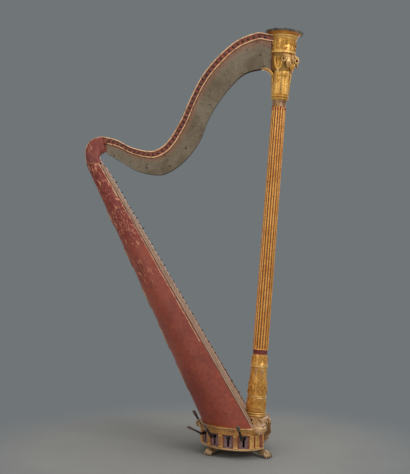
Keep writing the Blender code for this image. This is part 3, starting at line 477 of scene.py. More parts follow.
class Finishes(Enum):
    """Every finish of the harp."""

    RED = Paint("red_paint", "red_paint", tone(160, 74, 51), tone(128, 52, 38),
                chip=tone(222, 146, 110))
    SHOULDER = Paint("red_paint_shoulder", "red_paint", tone(146, 74, 58), tone(110, 50, 42),
                     gilt=tone(226, 192, 160), worn_from=1.1, worn_to=2.1, least_wear=0.25)
    GROOVE = Paint("red_paint_neck", "red_paint", tone(152, 78, 54), tone(104, 46, 34),
                   gilt=tone(230, 188, 142), worn_from=1.5, worn_to=2.4, least_wear=0.1)
    BAY = Paint("brown_paint_base", "red_paint", tone(142, 76, 52), tone(104, 50, 38),
                gilt=tone(190, 138, 76), worn_from=0.4, worn_to=0.9, least_wear=0.25)
    BRIGHT = Gilding("bright_gilding", "old_gilding", tone(244, 192, 94), tone(190, 130, 44),
                     crevice=tone(76, 40, 16), rubbed=0.2, chalky=0.2, reach=0.012)
    SHAFT = Gilding(
        "shaft_gilding", "old_gilding", tone(248, 178, 86), tone(214, 138, 52),
        bole=tone(150, 80, 40), crevice=tone(70, 32, 12), rubbed=0.25, chalky=0.1, punched=0.15)
    FOOT = Gilding("foot_gilding", "old_gilding", tone(236, 178, 90), tone(188, 130, 54),
                   rubbed=0.3, chalky=0.35, punched=0.45)
    PILASTER = Gilding("pilaster_gilding", "old_gilding", tone(248, 198, 120), tone(208, 146, 76),
                       metal=0.15, rubbed=0.2)
    OCHRE = Gilding("ochre_gilding", "old_gilding", tone(198, 142, 76), tone(152, 102, 50),
                    crevice=tone(64, 38, 20), metal=0.3, rubbed=0.35, chalky=0.1)
    BEIGE = Gilding("beige_carving", "pale_gilding", tone(208, 168, 118), tone(156, 112, 72),
                    gesso=tone(212, 190, 160), crevice=tone(58, 34, 20), reach=0.011, metal=0.15,
                    rubbed=0.35, chalky=0.5, punched=0.3)
    HEADS = Gilding("head_carving", "pale_gilding", tone(232, 188, 118), tone(184, 130, 66),
                    gesso=tone(222, 200, 168), crevice=tone(70, 36, 16), metal=0.25, rubbed=0.2,
                    chalky=0.5, punched=0.2, reach=0.012)
    PAWS = Gilding("paw_gilding", "pale_gilding", tone(202, 168, 120), tone(108, 78, 48),
                   gesso=tone(208, 190, 160), crevice=tone(40, 26, 16), metal=0.25, rubbed=0.4,
                   chalky=0.4, punched=0.7, reach=0.014)
    WORN = Gilding("worn_band", "old_gilding", tone(176, 132, 86), tone(116, 76, 48),
                   gesso=tone(196, 170, 142), metal=0.2, rubbed=0.6, chalky=0.5)
    RIM = Gilding("blackened_gilding", "old_gilding", tone(124, 114, 98), tone(58, 50, 42),
                  bole=tone(104, 64, 38), gesso=tone(194, 198, 194), crevice=tone(26, 20, 16),
                  metal=0.2, rubbed=0.5, chalky=1.2)
    BAND = Paint("wine_red_band", "red_paint", tone(132, 46, 44), tone(88, 28, 28), least_wear=0.3)
    PLATE = Metal("plate_metal", "plate_metal", tone(122, 110, 90), tone(100, 87, 67),
                  tone(56, 44, 36), metal=0.15, spotted=0.68, spot_scale=44.0)
    SLOT = Metal("slot_plate_metal", "plate_metal", tone(142, 112, 112), tone(104, 74, 74),
                 tone(54, 32, 30), metal=0.2, spotted=0.7)
    IRON = Metal("black_iron", "iron", tone(66, 58, 54), tone(38, 33, 31), tone(74, 48, 36),
                 metal=0.6, spotted=0.4)
    STEEL = Metal("pin_steel", "iron", tone(146, 126, 108), tone(92, 74, 62), tone(58, 42, 34),
                  metal=0.6, spotted=0.4)
    BRASS = Metal("pedal_brass", "plate_metal", tone(206, 188, 156), tone(164, 140, 104),
                  tone(92, 70, 48), metal=0.7, spotted=0.2)
    PAD = Metal("rubbed_pad", "iron", tone(120, 104, 88), tone(70, 58, 48), tone(46, 36, 30),
                metal=0.3, spotted=0.5)
    SPRUCE = Wood("spruce", "spruce", tone(184, 150, 124), tone(154, 120, 96),
                  grain=(170.0, 170.0, 5.0))
    BINDING = Wood("binding_wood", "spruce", tone(168, 128, 98), tone(126, 90, 66),
                   grain=(120.0, 120.0, 6.0))
    BEECH = Wood("beech", "beech", tone(134, 98, 68), tone(98, 68, 46), grain=(200.0, 14.0, 200.0),
                 turn=0.0)
    # dark collars round the tuning pins: their holes, and painted shadow of the pins
    PIN_HOLE_SHADOW = Wood("pin_hole_shadow_wood", "beech", tone(84, 34, 28), tone(48, 20, 18),
                   grain=(400.0, 400.0, 400.0))
    EBONY = Wood("black_wood", "beech", tone(44, 38, 36), tone(20, 17, 17),
                 grain=(400.0, 400.0, 40.0), gloss=0.7)


# Helpers


def linked(name: str, data: bpy.types.ID) -> bpy.types.Object:
    """A new object in the scene.

    Args:
        name: of the object.
        data: what it shows.

    Returns:
        The object.
    """
    made = bpy.data.objects.new(name, data)
    bpy.context.scene.collection.objects.link(made)
    return made


def dress(obj: bpy.types.Object, finish: Finishes) -> None:
    """Gives an object one finish in place of all it had."""
    obj.data.materials.clear()
    obj.data.materials.append(finish.value.material())


def at(*coordinates: float) -> Vector:
    """A place, or a way."""
    return Vector(coordinates)


def spin(degrees: float, axis: str = "Z") -> Matrix:
    """A turn about an axis."""
    return Matrix.Rotation(radians(degrees), 4, axis)


def move(x: float, y: float, z: float) -> Matrix:
    """A shift."""
    return Matrix.Translation((x, y, z))


def circle(count: int) -> list[float]:
    """Evenly spread angles, in radians."""
    return [2 * pi * k / count for k in range(count)]


def shares(count: int) -> list[float]:
    """Evenly spread shares from 0 to 1."""
    return [k / (count - 1) for k in range(count)]


def curve(points: Sequence[Sequence[float]], count: int) -> list[Vector]:
    """Evenly numbered places on a smooth curve through the points.

    Args:
        points: their coordinates, in order.
        count: how many places.

    Returns:
        The places, the first and last on the end points.
    """
    knots = [Vector(point) for point in points]
    ends = [knots[0] * 2 - knots[1], *knots, knots[-1] * 2 - knots[-2]]
    spans = len(knots) - 1
    made = []
    for k in range(count):
        place = spans * k / (count - 1)
        span = min(int(place), spans - 1)
        t = place - span
        a, b, c, d = ends[span:span + 4]
        made.append((2 * b + (c - a) * t + (2 * a - 5 * b + 4 * c - d) * t ** 2
                     + (3 * b - a - 3 * c + d) * t ** 3) / 2)
    return made


def spiral(start: float, end: float, turns: float, count: int, hand: int = 1) -> list[Vector]:
    """A flat scroll about the origin, from one radius to another, as (across, up)."""
    return [at(hand * (start + (end - start) * t) * cos(2 * pi * turns * t),
               (start + (end - start) * t) * sin(2 * pi * turns * t)) for t in shares(count)]


# Shapes


class Shape:
    """A mesh under way, in millimetres. Each point may carry a mark for its finish."""

    def __init__(self) -> None:
        """Starts empty."""
        self.bm = bmesh.new()
        self.layer = self.bm.verts.layers.float.new("mark")

    def skin(self, rings: Sequence[Sequence[Vector]], loop: bool = False, caps: bool = True,
             mark: Mark | None = None) -> "Shape":
        """Covers closed rings of as many points each.

        Args:
            rings: the rings in order.
            loop: whether the last ring joins the first.
            caps: whether the end rings are filled.
            mark: gives a mark by the ring's and the point's number.

        Returns:
            The shape itself.
        """
        rows = []
        for r, ring in enumerate(rings):
            row = [self.bm.verts.new(point) for point in ring]
            for c, vert in enumerate(row):
                vert[self.layer] = mark(r, c) if mark else 0.0
            rows.append(row)
        count = len(rows[0])
        pairs = list(zip(rows, rows[1:]))
        if loop:
            pairs.append((rows[-1], rows[0]))
        for low, high in pairs:
            for c in range(count):
                d = (c + 1) % count
                self.bm.faces.new((low[c], low[d], high[d], high[c]))
        if caps and not loop:
            self.bm.faces.new(rows[0][::-1])
            self.bm.faces.new(rows[-1])
        return self

    def turned(self, profile: Profile, steps: int = 72, place: Matrix = Matrix(),
               loop: bool = False, mark: Mark | None = None, swell: Rule | None = None) -> "Shape":
        """A turned form about Z from (radius, height), whose radius may swell with the angle.

        Args:
            profile: radius and height of each ring.
            steps: points round each ring.
            place: where it stands.
            loop: whether the last ring joins the first.
            mark: gives a mark by the ring's and the point's number.
            swell: scales the radius at an angle.

        Returns:
            The shape itself.
        """
        rings = []
        for radius, z in profile:
            ring = []
            for angle in circle(steps):
                reach = radius * swell(angle) if swell else radius
                ring.append(place @ at(reach * cos(angle), reach * sin(angle), z))
            rings.append(ring)
        solid_ends = min(profile[0][0], profile[-1][0]) > 0.01
        return self.skin(rings, loop, solid_ends, mark)

    def tube(self, path: Sequence[Vector], radius: float | Rule, sides: int = 8) -> "Shape":
        """A round bar along a path; its radius may depend on the share of the way.

        Args:
            path: points along its middle.
            radius: one for all, or by the share of the way.
            sides: points round it.

        Returns:
            The shape itself.
        """
        tangent = (path[1] - path[0]).normalized()
        side = tangent.orthogonal().normalized()
        rings = []
        for k, point in enumerate(path):
            after, before = path[min(k + 1, len(path) - 1)], path[max(k - 1, 0)]
            tangent = (after - before).normalized()
            side = (side - tangent * side.dot(tangent)).normalized()
            other = tangent.cross(side)
            reach = radius(k / (len(path) - 1)) if callable(radius) else radius
            rings.append([point + (side * cos(a) + other * sin(a)) * reach for a in circle(sides)])
        return self.skin(rings)

    def ball(self, centre: Sequence[float], radius: float, squash: Triple = (1, 1, 1),
             sides: int = 12) -> "Shape":
        """A rounded lump.

        Args:
            centre: its middle.
            radius: of the ball.
            squash: scale along each axis.
            sides: round the ball.

        Returns:
            The shape itself.
        """
        bmesh.ops.create_uvsphere(
            self.bm, u_segments=sides, v_segments=max(6, sides * 2 // 3), radius=radius,
            matrix=Matrix.Translation(centre) @ Matrix.Diagonal((*squash, 1)))
        return self

    def leaf(self, spine: Sequence[Vector], out: Vector | Callable[[float], Vector], half: float,
             lobes: int = 4, thick: float = 1.6, base: float = 0.35,
             side: Vector | None = None) -> "Shape":
        """A carved leaf: veined, with lobed edges, along a spine.

        Args:
            spine: points from the leaf's foot to its tip.
            out: the way the leaf faces, or that way at a share of its length.
            half: greatest half width.
            lobes: lobes along each edge.
            thick: thickness at the midrib.
            base: share of the width that the foot has.
            side: across the leaf, if the same all along.

        Returns:
            The shape itself.
        """
        across = 9
        rings = []
        last = len(spine) - 1
        for k, point in enumerate(spine):
            t = k / last
            tangent = (spine[min(k + 1, last)] - spine[max(k - 1, 0)]).normalized()
            face = out(t) if callable(out) else out
            wide = side or tangent.cross(face).normalized()
            if t < 0.5:
                envelope = base + (1 - base) * sin(pi * min(1.0, t * 1.25) ** 0.8)
            else:
                envelope = max(0.06, cos(pi / 2 * ((t - 0.5) / 0.5) ** 1.7))
            notch = 1 - 0.34 * abs(cos(pi * lobes * t)) ** 3
            reach = half * envelope * notch
            front, back = [], []
            for c in range(across):
                u = 2 * c / (across - 1) - 1
                vein = 0.5 + 0.5 * cos(pi * 4 * u)
                lift = thick * (0.55 + 0.6 * (1 - abs(u)) ** 2 + 0.45 * vein * (1 - u * u)
                                - 0.35 * u * u)
                spot = point + wide * (u * reach)
                front.append(spot + face * lift)
                back.append(spot - face * thick * 0.5)
            rings.append(front + back[::-1])
        return self.skin(rings)

    def copies(self, other: "Shape", places: Sequence[Matrix]) -> "Shape":
        """Adds another shape at each place, and frees it.

        Args:
            other: the shape to repeat, used up.
            places: where.

        Returns:
            The shape itself.
        """
        mesh = bpy.data.meshes.new("copy")
        other.bm.to_mesh(mesh)
        other.bm.free()
        for place in places:
            moved = mesh.copy()
            moved.transform(place)
            self.bm.from_mesh(moved)
            bpy.data.meshes.remove(moved)
        bpy.data.meshes.remove(mesh)
        return self

    def piece(self, name: str, finish: Finishes, *nodes: str, crease: float = CREASE,
              body: str = "frame", slot: str = "") -> None:
        """Finishes the shape as a visible piece."""
        place_piece(self.object(name, finish, crease), slot or finish.value.slot, *nodes, body=body)

    def object(self, name: str, finish: Finishes | None = None,
               crease: float = CREASE) -> bpy.types.Object:
        """The finished mesh as an object, in metres.

        Args:
            name: of the object.
            finish: if it has one yet.
            crease: edges sharper than this many degrees stay sharp.

        Returns:
            The object.
        """
        bmesh.ops.remove_doubles(self.bm, verts=self.bm.verts, dist=2e-3)
        bmesh.ops.recalc_face_normals(self.bm, faces=self.bm.faces)
        mesh = bpy.data.meshes.new(name)
        self.bm.to_mesh(mesh)
        self.bm.free()
        mesh.transform(Matrix.Scale(MM, 4))
        if finish:
            mesh.materials.append(finish.value.material())
        mesh.shade_smooth()
        mesh.set_sharp_from_angle(angle=radians(crease))
        return linked(name, mesh)


def place_piece(obj: bpy.types.Object, slot: str, *nodes: str, body: str = "frame") -> None:
    """Puts a finished piece on its body, in place of its nodes.

    Args:
        obj: the piece.
        slot: of the record; not used.
        nodes: the frame's nodes that it replaces.
        body: the body it rides on.
    """
    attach(obj, body)
    if nodes:
        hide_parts(*nodes)
    LOG.info("%s: %d faces on %s", obj.name, len(obj.data.polygons), body)


def applied(obj: bpy.types.Object) -> None:
    """Makes an object's modifiers part of a plain mesh.

    Args:
        obj: the object.
    """
    bpy.context.view_layer.update()
    mesh = bpy.data.meshes.new_from_object(obj.evaluated_get(bpy.context.evaluated_depsgraph_get()))
    obj.modifiers.clear()
    obj.data = mesh
    mesh.shade_smooth()
    mesh.set_sharp_from_angle(angle=radians(CREASE))


def cut(obj: bpy.types.Object, tool: bpy.types.Object) -> None:
    """Cuts a tool's shape out of an object.

    Args:
        obj: the object.
        tool: another, used up.
    """
    change = obj.modifiers.new("cut", "BOOLEAN")
    change.operation = "DIFFERENCE"
    change.solver = "EXACT"
    change.object = tool
    applied(obj)
    bpy.data.objects.remove(tool, do_unlink=True)


# Trees that repeat or shape


def opened(name: str, **inputs: str) -> tuple[bpy.types.GeometryNodeTree, Net, dict[str, Wire]]:
    """A geometry tree with its interface.

    Args:
        name: of the tree.
        inputs: the kind of each input after the geometry, by its name.

    Returns:
        The tree, its net, and a wire from each input.
    """
    tree = bpy.data.node_groups.new(name, "GeometryNodeTree")
    net = Net(tree)
    kinds = {"Geometry": "Geometry"} | inputs
    for label, kind in kinds.items():
        tree.interface.new_socket(label, in_out="INPUT", socket_type="NodeSocket" + kind)
    tree.interface.new_socket("Geometry", in_out="OUTPUT", socket_type="NodeSocketGeometry")
    group = net.node("NodeGroupInput")
    return tree, net, {label: Wire(net, group.outputs[label]) for label in kinds}


def closed(net: Net, geometry: Wire, finish: Wire) -> None:
    """Makes the geometry plain and dressed, and ends the tree.

    Args:
        net: the tree's net.
        geometry: what the tree has made.
        finish: its material.
    """
    solid = net.wire("GeometryNodeRealizeInstances", None, {"Geometry": geometry})
    dressed = net.wire("GeometryNodeSetMaterial", None, {"Geometry": solid, "Material": finish})
    net.node("NodeGroupOutput", None, {"Geometry": dressed})


def run_tree(obj: bpy.types.Object, tree: bpy.types.GeometryNodeTree, values: dict) -> None:
    """Gives a tree its inputs on an object and makes the result its plain mesh.

    Args:
        obj: the object.
        tree: the geometry tree.
        values: by the input's name.
    """
    modifier = obj.modifiers.new(tree.name, "NODES")
    modifier.node_group = tree
    for item in tree.interface.items_tree:
        if item.in_out == "INPUT" and item.name in values:
            modifier[item.identifier] = values[item.name]
    applied(obj)


class Repeater:
    """Sets a template at each of many places, a little uneven where asked."""

    def __init__(self) -> None:
        """Builds the tree."""
        self.tree, net, given = opened("repeat_on_points", Template="Object", Unevenness="Float",
                                       Seed="Int", Finish="Material")
        uneven = given["Unevenness"]
        template = net.wire("GeometryNodeObjectInfo", None, {"Object": given["Template"]},
                            "Geometry")
        turn = net.wire("GeometryNodeInputNamedAttribute", {"data_type": "FLOAT_VECTOR"},
                        {"Name": "turn"})
        size = net.wire("GeometryNodeInputNamedAttribute", {"data_type": "FLOAT"}, {"Name": "size"})
        chance = net.wire("FunctionNodeRandomValue", {"data_type": "FLOAT"},
                          {2: 1 - uneven, 3: 1 + uneven, "Seed": given["Seed"]}, 1)
        set_out = net.wire("GeometryNodeInstanceOnPoints", None,
                           {"Points": given["Geometry"], "Instance": template, "Rotation": turn,
                            "Scale": size * chance})
        closed(net, set_out, given["Finish"])

    def piece(self, name: str, template: Shape, places: Sequence[Matrix], finish: Finishes,
              uneven: float = 0.0, seed: int = 1, slot: str = "") -> None:
        """One piece on the frame with the template at every place.

        Args:
            name: the piece's name.
            template: the shape to repeat, used up.
            places: where, with the turn and size, in millimetres.
            finish: of the piece.
            uneven: how much the sizes differ, as a share.
            seed: for that.
            slot: another slot than the finish's.
        """
        model = template.object(name + "_template", finish)
        mesh = bpy.data.meshes.new(name)
        mesh.from_pydata([place.to_translation() * MM for place in places], [], [])
        for label, kind in (("turn", "FLOAT_VECTOR"), ("size", "FLOAT")):
            mesh.attributes.new(label, kind, "POINT")
        for k, place in enumerate(places):
            mesh.attributes["turn"].data[k].vector = place.to_euler()
            mesh.attributes["size"].data[k].value = place.to_scale().x
        made = linked(name, mesh)
        run_tree(made, self.tree, {"Template": model, "Unevenness": uneven, "Seed": seed,
                                   "Finish": finish.value.material()})
        bpy.data.objects.remove(model, do_unlink=True)
        place_piece(made, slot or finish.value.slot)


class Fluting:
    """Sinks flutes into a turned shaft about its own Z axis and marks their depth."""

    run_out = 0.006               # metres over which a flute ends

    def __init__(self) -> None:
        """Builds the tree."""
        self.tree, net, given = opened("flutes_round_shaft", Flutes="Int", Depth="Float",
                                       Bore="Float", Start="Float", End="Float", Finish="Material")
        split = net.node("ShaderNodeSeparateXYZ", None, {0: net.wire("GeometryNodeInputPosition")})
        x, y, z = (Wire(net, split.outputs[k]) for k in range(3))
        radius = net.math("SQRT", x * x + y * y)
        wave = net.math("COSINE", net.math("ARCTAN2", y, x) * given["Flutes"])
        dip = net.most(0.5 - wave * 0.5, 0.0) ** 1.1
        sunk = dip
        for way in (z - given["Start"], given["End"] - z):
            near = net.math("MINIMUM", net.most(way / self.run_out, 0.0), 1.0)
            sunk *= net.math("SQRT", near)
        sunk *= net.math("GREATER_THAN", radius, given["Bore"] + 0.002)
        share = 1 - sunk * given["Depth"] / radius
        place = net.wire("ShaderNodeCombineXYZ", None, {0: x * share, 1: y * share, 2: z})
        moved = net.wire("GeometryNodeSetPosition", None,
                         {"Geometry": given["Geometry"], "Position": place})
        # the depth mark darkens the flutes with painted shade in the shaft's gilding
        marked = net.wire(
            "GeometryNodeStoreNamedAttribute", {"data_type": "FLOAT", "domain": "POINT"},
            {"Geometry": moved, "Name": "mark", "Value": (sunk ** 1.1) * 1.25 - 0.12})
        closed(net, marked, given["Finish"])


REPEAT = Repeater()


def round_axis(radius: float, s: float, count: int, start: float = 0.0, tilt: float = 0.0,
               size: float = 1.0) -> list[Matrix]:
    """Places round the column, with +X outwards and +Z up it."""
    return [AXIS @ Matrix.Rotation(radians(start) + 2 * pi * k / count, 4, "Z") @ move(radius, 0, s)
            @ spin(tilt, "Y") @ Matrix.Scale(size, 4) for k in range(count)]


def upright_leaf(length: float, half: float, curl: float = 3.0, lobes: int = 4, thick: float = 1.3,
                 points: int = 14) -> Shape:
    """A leaf that stands along +Z, faces +X and curls out at its tip.

    Args:
        length: of the leaf.
        half: greatest half width.
        curl: how far the tip comes out.
        lobes: along each edge.
        thick: thickness at the midrib.
        points: along its spine.

    Returns:
        The leaf.
    """
    spine = [at(curl * max(0.0, t - 0.55) ** 2 * 5, 0, length * t * (1 - 0.05 * t))
             for t in shares(points)]
    return Shape().leaf(spine, lambda t: at(1, 0, -0.5 * max(0.0, t - 0.6)), half, lobes, thick,
                        side=ACROSS)


def bead(radius: float, z: float, size: float, steps: int = 6) -> Profile:
    """Half round bead of a turned profile, going up."""
    return [(radius + size * sin(pi * k / steps), z - size * cos(pi * k / steps))
            for k in range(steps + 1)]


# Sound box


@dataclass
class SoundBox:
    """Half-round back with its holes, soundboard, string bar, pegs and bindings."""

    low_z: float = 121.9
    top_z: float = 1160.0
    board_low: float = 222.7
    board_top: float = -381.6
    back_low: float = 30.0
    back_top: float = -441.6
    low_half: float = 181.0
    top_half: float = 45.0
    shell: float = 6.0
    board: float = 6.0
    bar: float = 7.0
    strings: int = 43
    holes: int = 5
    gold_line: tuple[float, float] = (3.0, 8.0)    # distances from the back's edge
    gold_mark: float = 0.56

    def sizes_at(self, z: float) -> Triple:
        """Edge plane, back ridge and half width at a height.

        Args:
            z: the height.

        Returns:
            Two X and the half width.
        """
        t = (z - self.low_z) / (self.top_z - self.low_z)
        edge = self.board_low + (self.board_top - self.board_low) * t
        ridge = self.back_low + (self.back_top - self.back_low) * t
        return edge, ridge, self.low_half + (self.top_half - self.low_half) * t

    def round_back(self, z: float, inset: float, count: int = 72) -> list[Vector]:
        """Points round the back at a height, from the board's left edge to its right.

        Args:
            z: the height.
            inset: how far inside the outer face.
            count: how many spans.

        Returns:
            The points.
        """
        edge, back, half = self.sizes_at(z)
        reach, half = edge - back - inset * 1.1, half - inset
        return [at(edge - reach * sin(a) ** ROUND, half * copysign(abs(cos(a)) ** ROUND, cos(a)), z)
                for a in (pi * k / count for k in range(count + 1))]

    def along(self) -> tuple[Matrix, float]:
        """Frame on the board's edge plane (+X out of it, +Z up along it) and its length.

        Returns:
            The frame and the length.
        """
        start = at(self.board_low, 0, self.low_z)
        way = at(self.board_top, 0, self.top_z) - start
        up, across = way.normalized(), ACROSS
        turn = Matrix((across.cross(up), across, up)).transposed().to_4x4()
        return Matrix.Translation(start) @ turn, way.length - 6

    def hole(self, number: int) -> Triple:
        """Height, half height and half width of a sound hole."""
        z = self.low_z + (self.top_z - self.low_z) * (0.17 + 0.155 * number)
        return z, 62.0 - 7 * number, 0.2 * self.sizes_at(z)[2]

    def on_back(self, y: float, z: float, lift: float) -> Vector:
        """The point of the back at a width and height, lifted off it.

        Args:
            y: across the harp.
            z: the height.
            lift: off the face.

        Returns:
            The point.
        """
        edge, back, half = self.sizes_at(z)
        cosine = min(1, abs(y) / half) ** (1 / ROUND)
        return at(edge - (edge - back) * sqrt(1 - cosine ** 2) ** ROUND - lift, y, z)

    def build_back(self) -> None:
        """The painted shell, its holes and their rims."""
        levels = [self.low_z + (self.top_z - self.low_z) * k / 40 for k in range(41)]
        back = Shape().skin([self.round_back(z, 0) + self.round_back(z, self.shell)[::-1]
                             for z in levels])
        obj = back.object("sound_box_back", Finishes.RED, 50)
        tool, rims = Shape(), Shape()
        slope = atan((self.back_low - self.back_top) / (self.top_z - self.low_z))
        for k in range(self.holes):
            z, high, wide = self.hole(k)
            place = move(self.sizes_at(z)[1], 0, z) @ Matrix.Rotation(-slope, 4, "Y")
            ring = [(high * sin(a), wide * cos(a)) for a in circle(48)]
            tool.skin([[place @ at(x, y, v) for v, y in ring] for x in (-40, 45)])
            path = []
            for v, y in [*ring, ring[0]]:
                spot = place @ at(0, y * 1.06, v * 1.03)
                path.append(self.on_back(spot.y, spot.z, 0.4))
            rims.tube(path, 2.1, 8)
        cut(obj, tool.object("hole_tool"))
        layer = obj.data.attributes.get("mark") or obj.data.attributes.new("mark", "FLOAT", "POINT")
        near, far = self.gold_line
        for n, vert in enumerate(obj.data.vertices):
            point = vert.co / MM
            edge = self.sizes_at(point.z)[0] - point.x
            layer.data[n].value = self.gold_mark if near < edge < far else 0.0
        place_piece(obj, "red_paint", "body_shell")
        rims.piece("sound_hole_rims", Finishes.OCHRE)

    def build_board(self) -> None:
        """String bar with rounded edges, its pegs, and the dark line beside each binding."""
        plane, length = self.along()
        top = self.board + self.bar
        rings = []
        for k in range(33):
            t = 0.045 + 0.94 * k / 32
            half = 19 - 8 * t
            section = ((self.board + 0.3, half), (top - 2.2, half), (top - 0.6, half - 1.2),
                       (top, half - 3.4), (top, 3.4 - half), (top - 0.6, 1.2 - half),
                       (top - 2.2, -half), (self.board + 0.3, -half))
            rings.append([plane @ at(x, y, length * t) for x, y in section])
        Shape().skin(rings).piece("string_bar_strip", Finishes.SPRUCE, "string_bar")
        peg = Shape().turned(
            ((0, -3.5), (2.4, -3.5), (2.6, 0), (4.1, 0.2), (4.5, 1.2), (3.4, 2), (3.2, 4.6),
             (4.4, 6.2), (4.2, 8), (2.6, 9.4), (0, 9.8)), 12, spin(90, "Y"))
        eyes = Shape().turned(
            ((2, 0), (4.6, 0), (4.9, 0.9), (3.4, 1.3), (2, 1)), 14, spin(90, "Y"), loop=True)
        places, seats = [], []
        for k, t in enumerate(shares(self.strings)):
            z = length * (0.075 + 0.89 * (1.07 * t - 0.07 * t ** 2))
            out = 3.4 * max(0, sin(k * 2.7)) ** 3 + (6.0 if k == 1 else 0)
            lean = spin(9 * sin(k * 1.9), "Y")
            flat = plane @ move(top, 0, z)
            seats.append(flat)
            places.append(flat @ move(out - 1.5, 0, 0) @ lean
                          @ Matrix.Scale(0.65 + 0.1 * sin(4.3 * k), 4))
        REPEAT.piece("string_pegs", peg, places, Finishes.EBONY, uneven=0.05, seed=4)
        REPEAT.piece("peg_eyelets", eyes, seats, Finishes.BINDING)
        lines = Shape()
        for side in (-1, 1):
            ends = []
            for t in (0.02, 0.5, 0.995):
                half = self.low_half + (self.top_half - self.low_half) * t
                ends.append(plane @ at(0.4, side * (half + 0.2), length * t))
            lines.tube(curve(ends, 24), 0.9, 6)
        lines.piece("board_edge_lines", Finishes.EBONY)

    def build(self) -> None:
        """Every piece of the sound box."""
        self.build_back()
        self.build_board()


# Neck


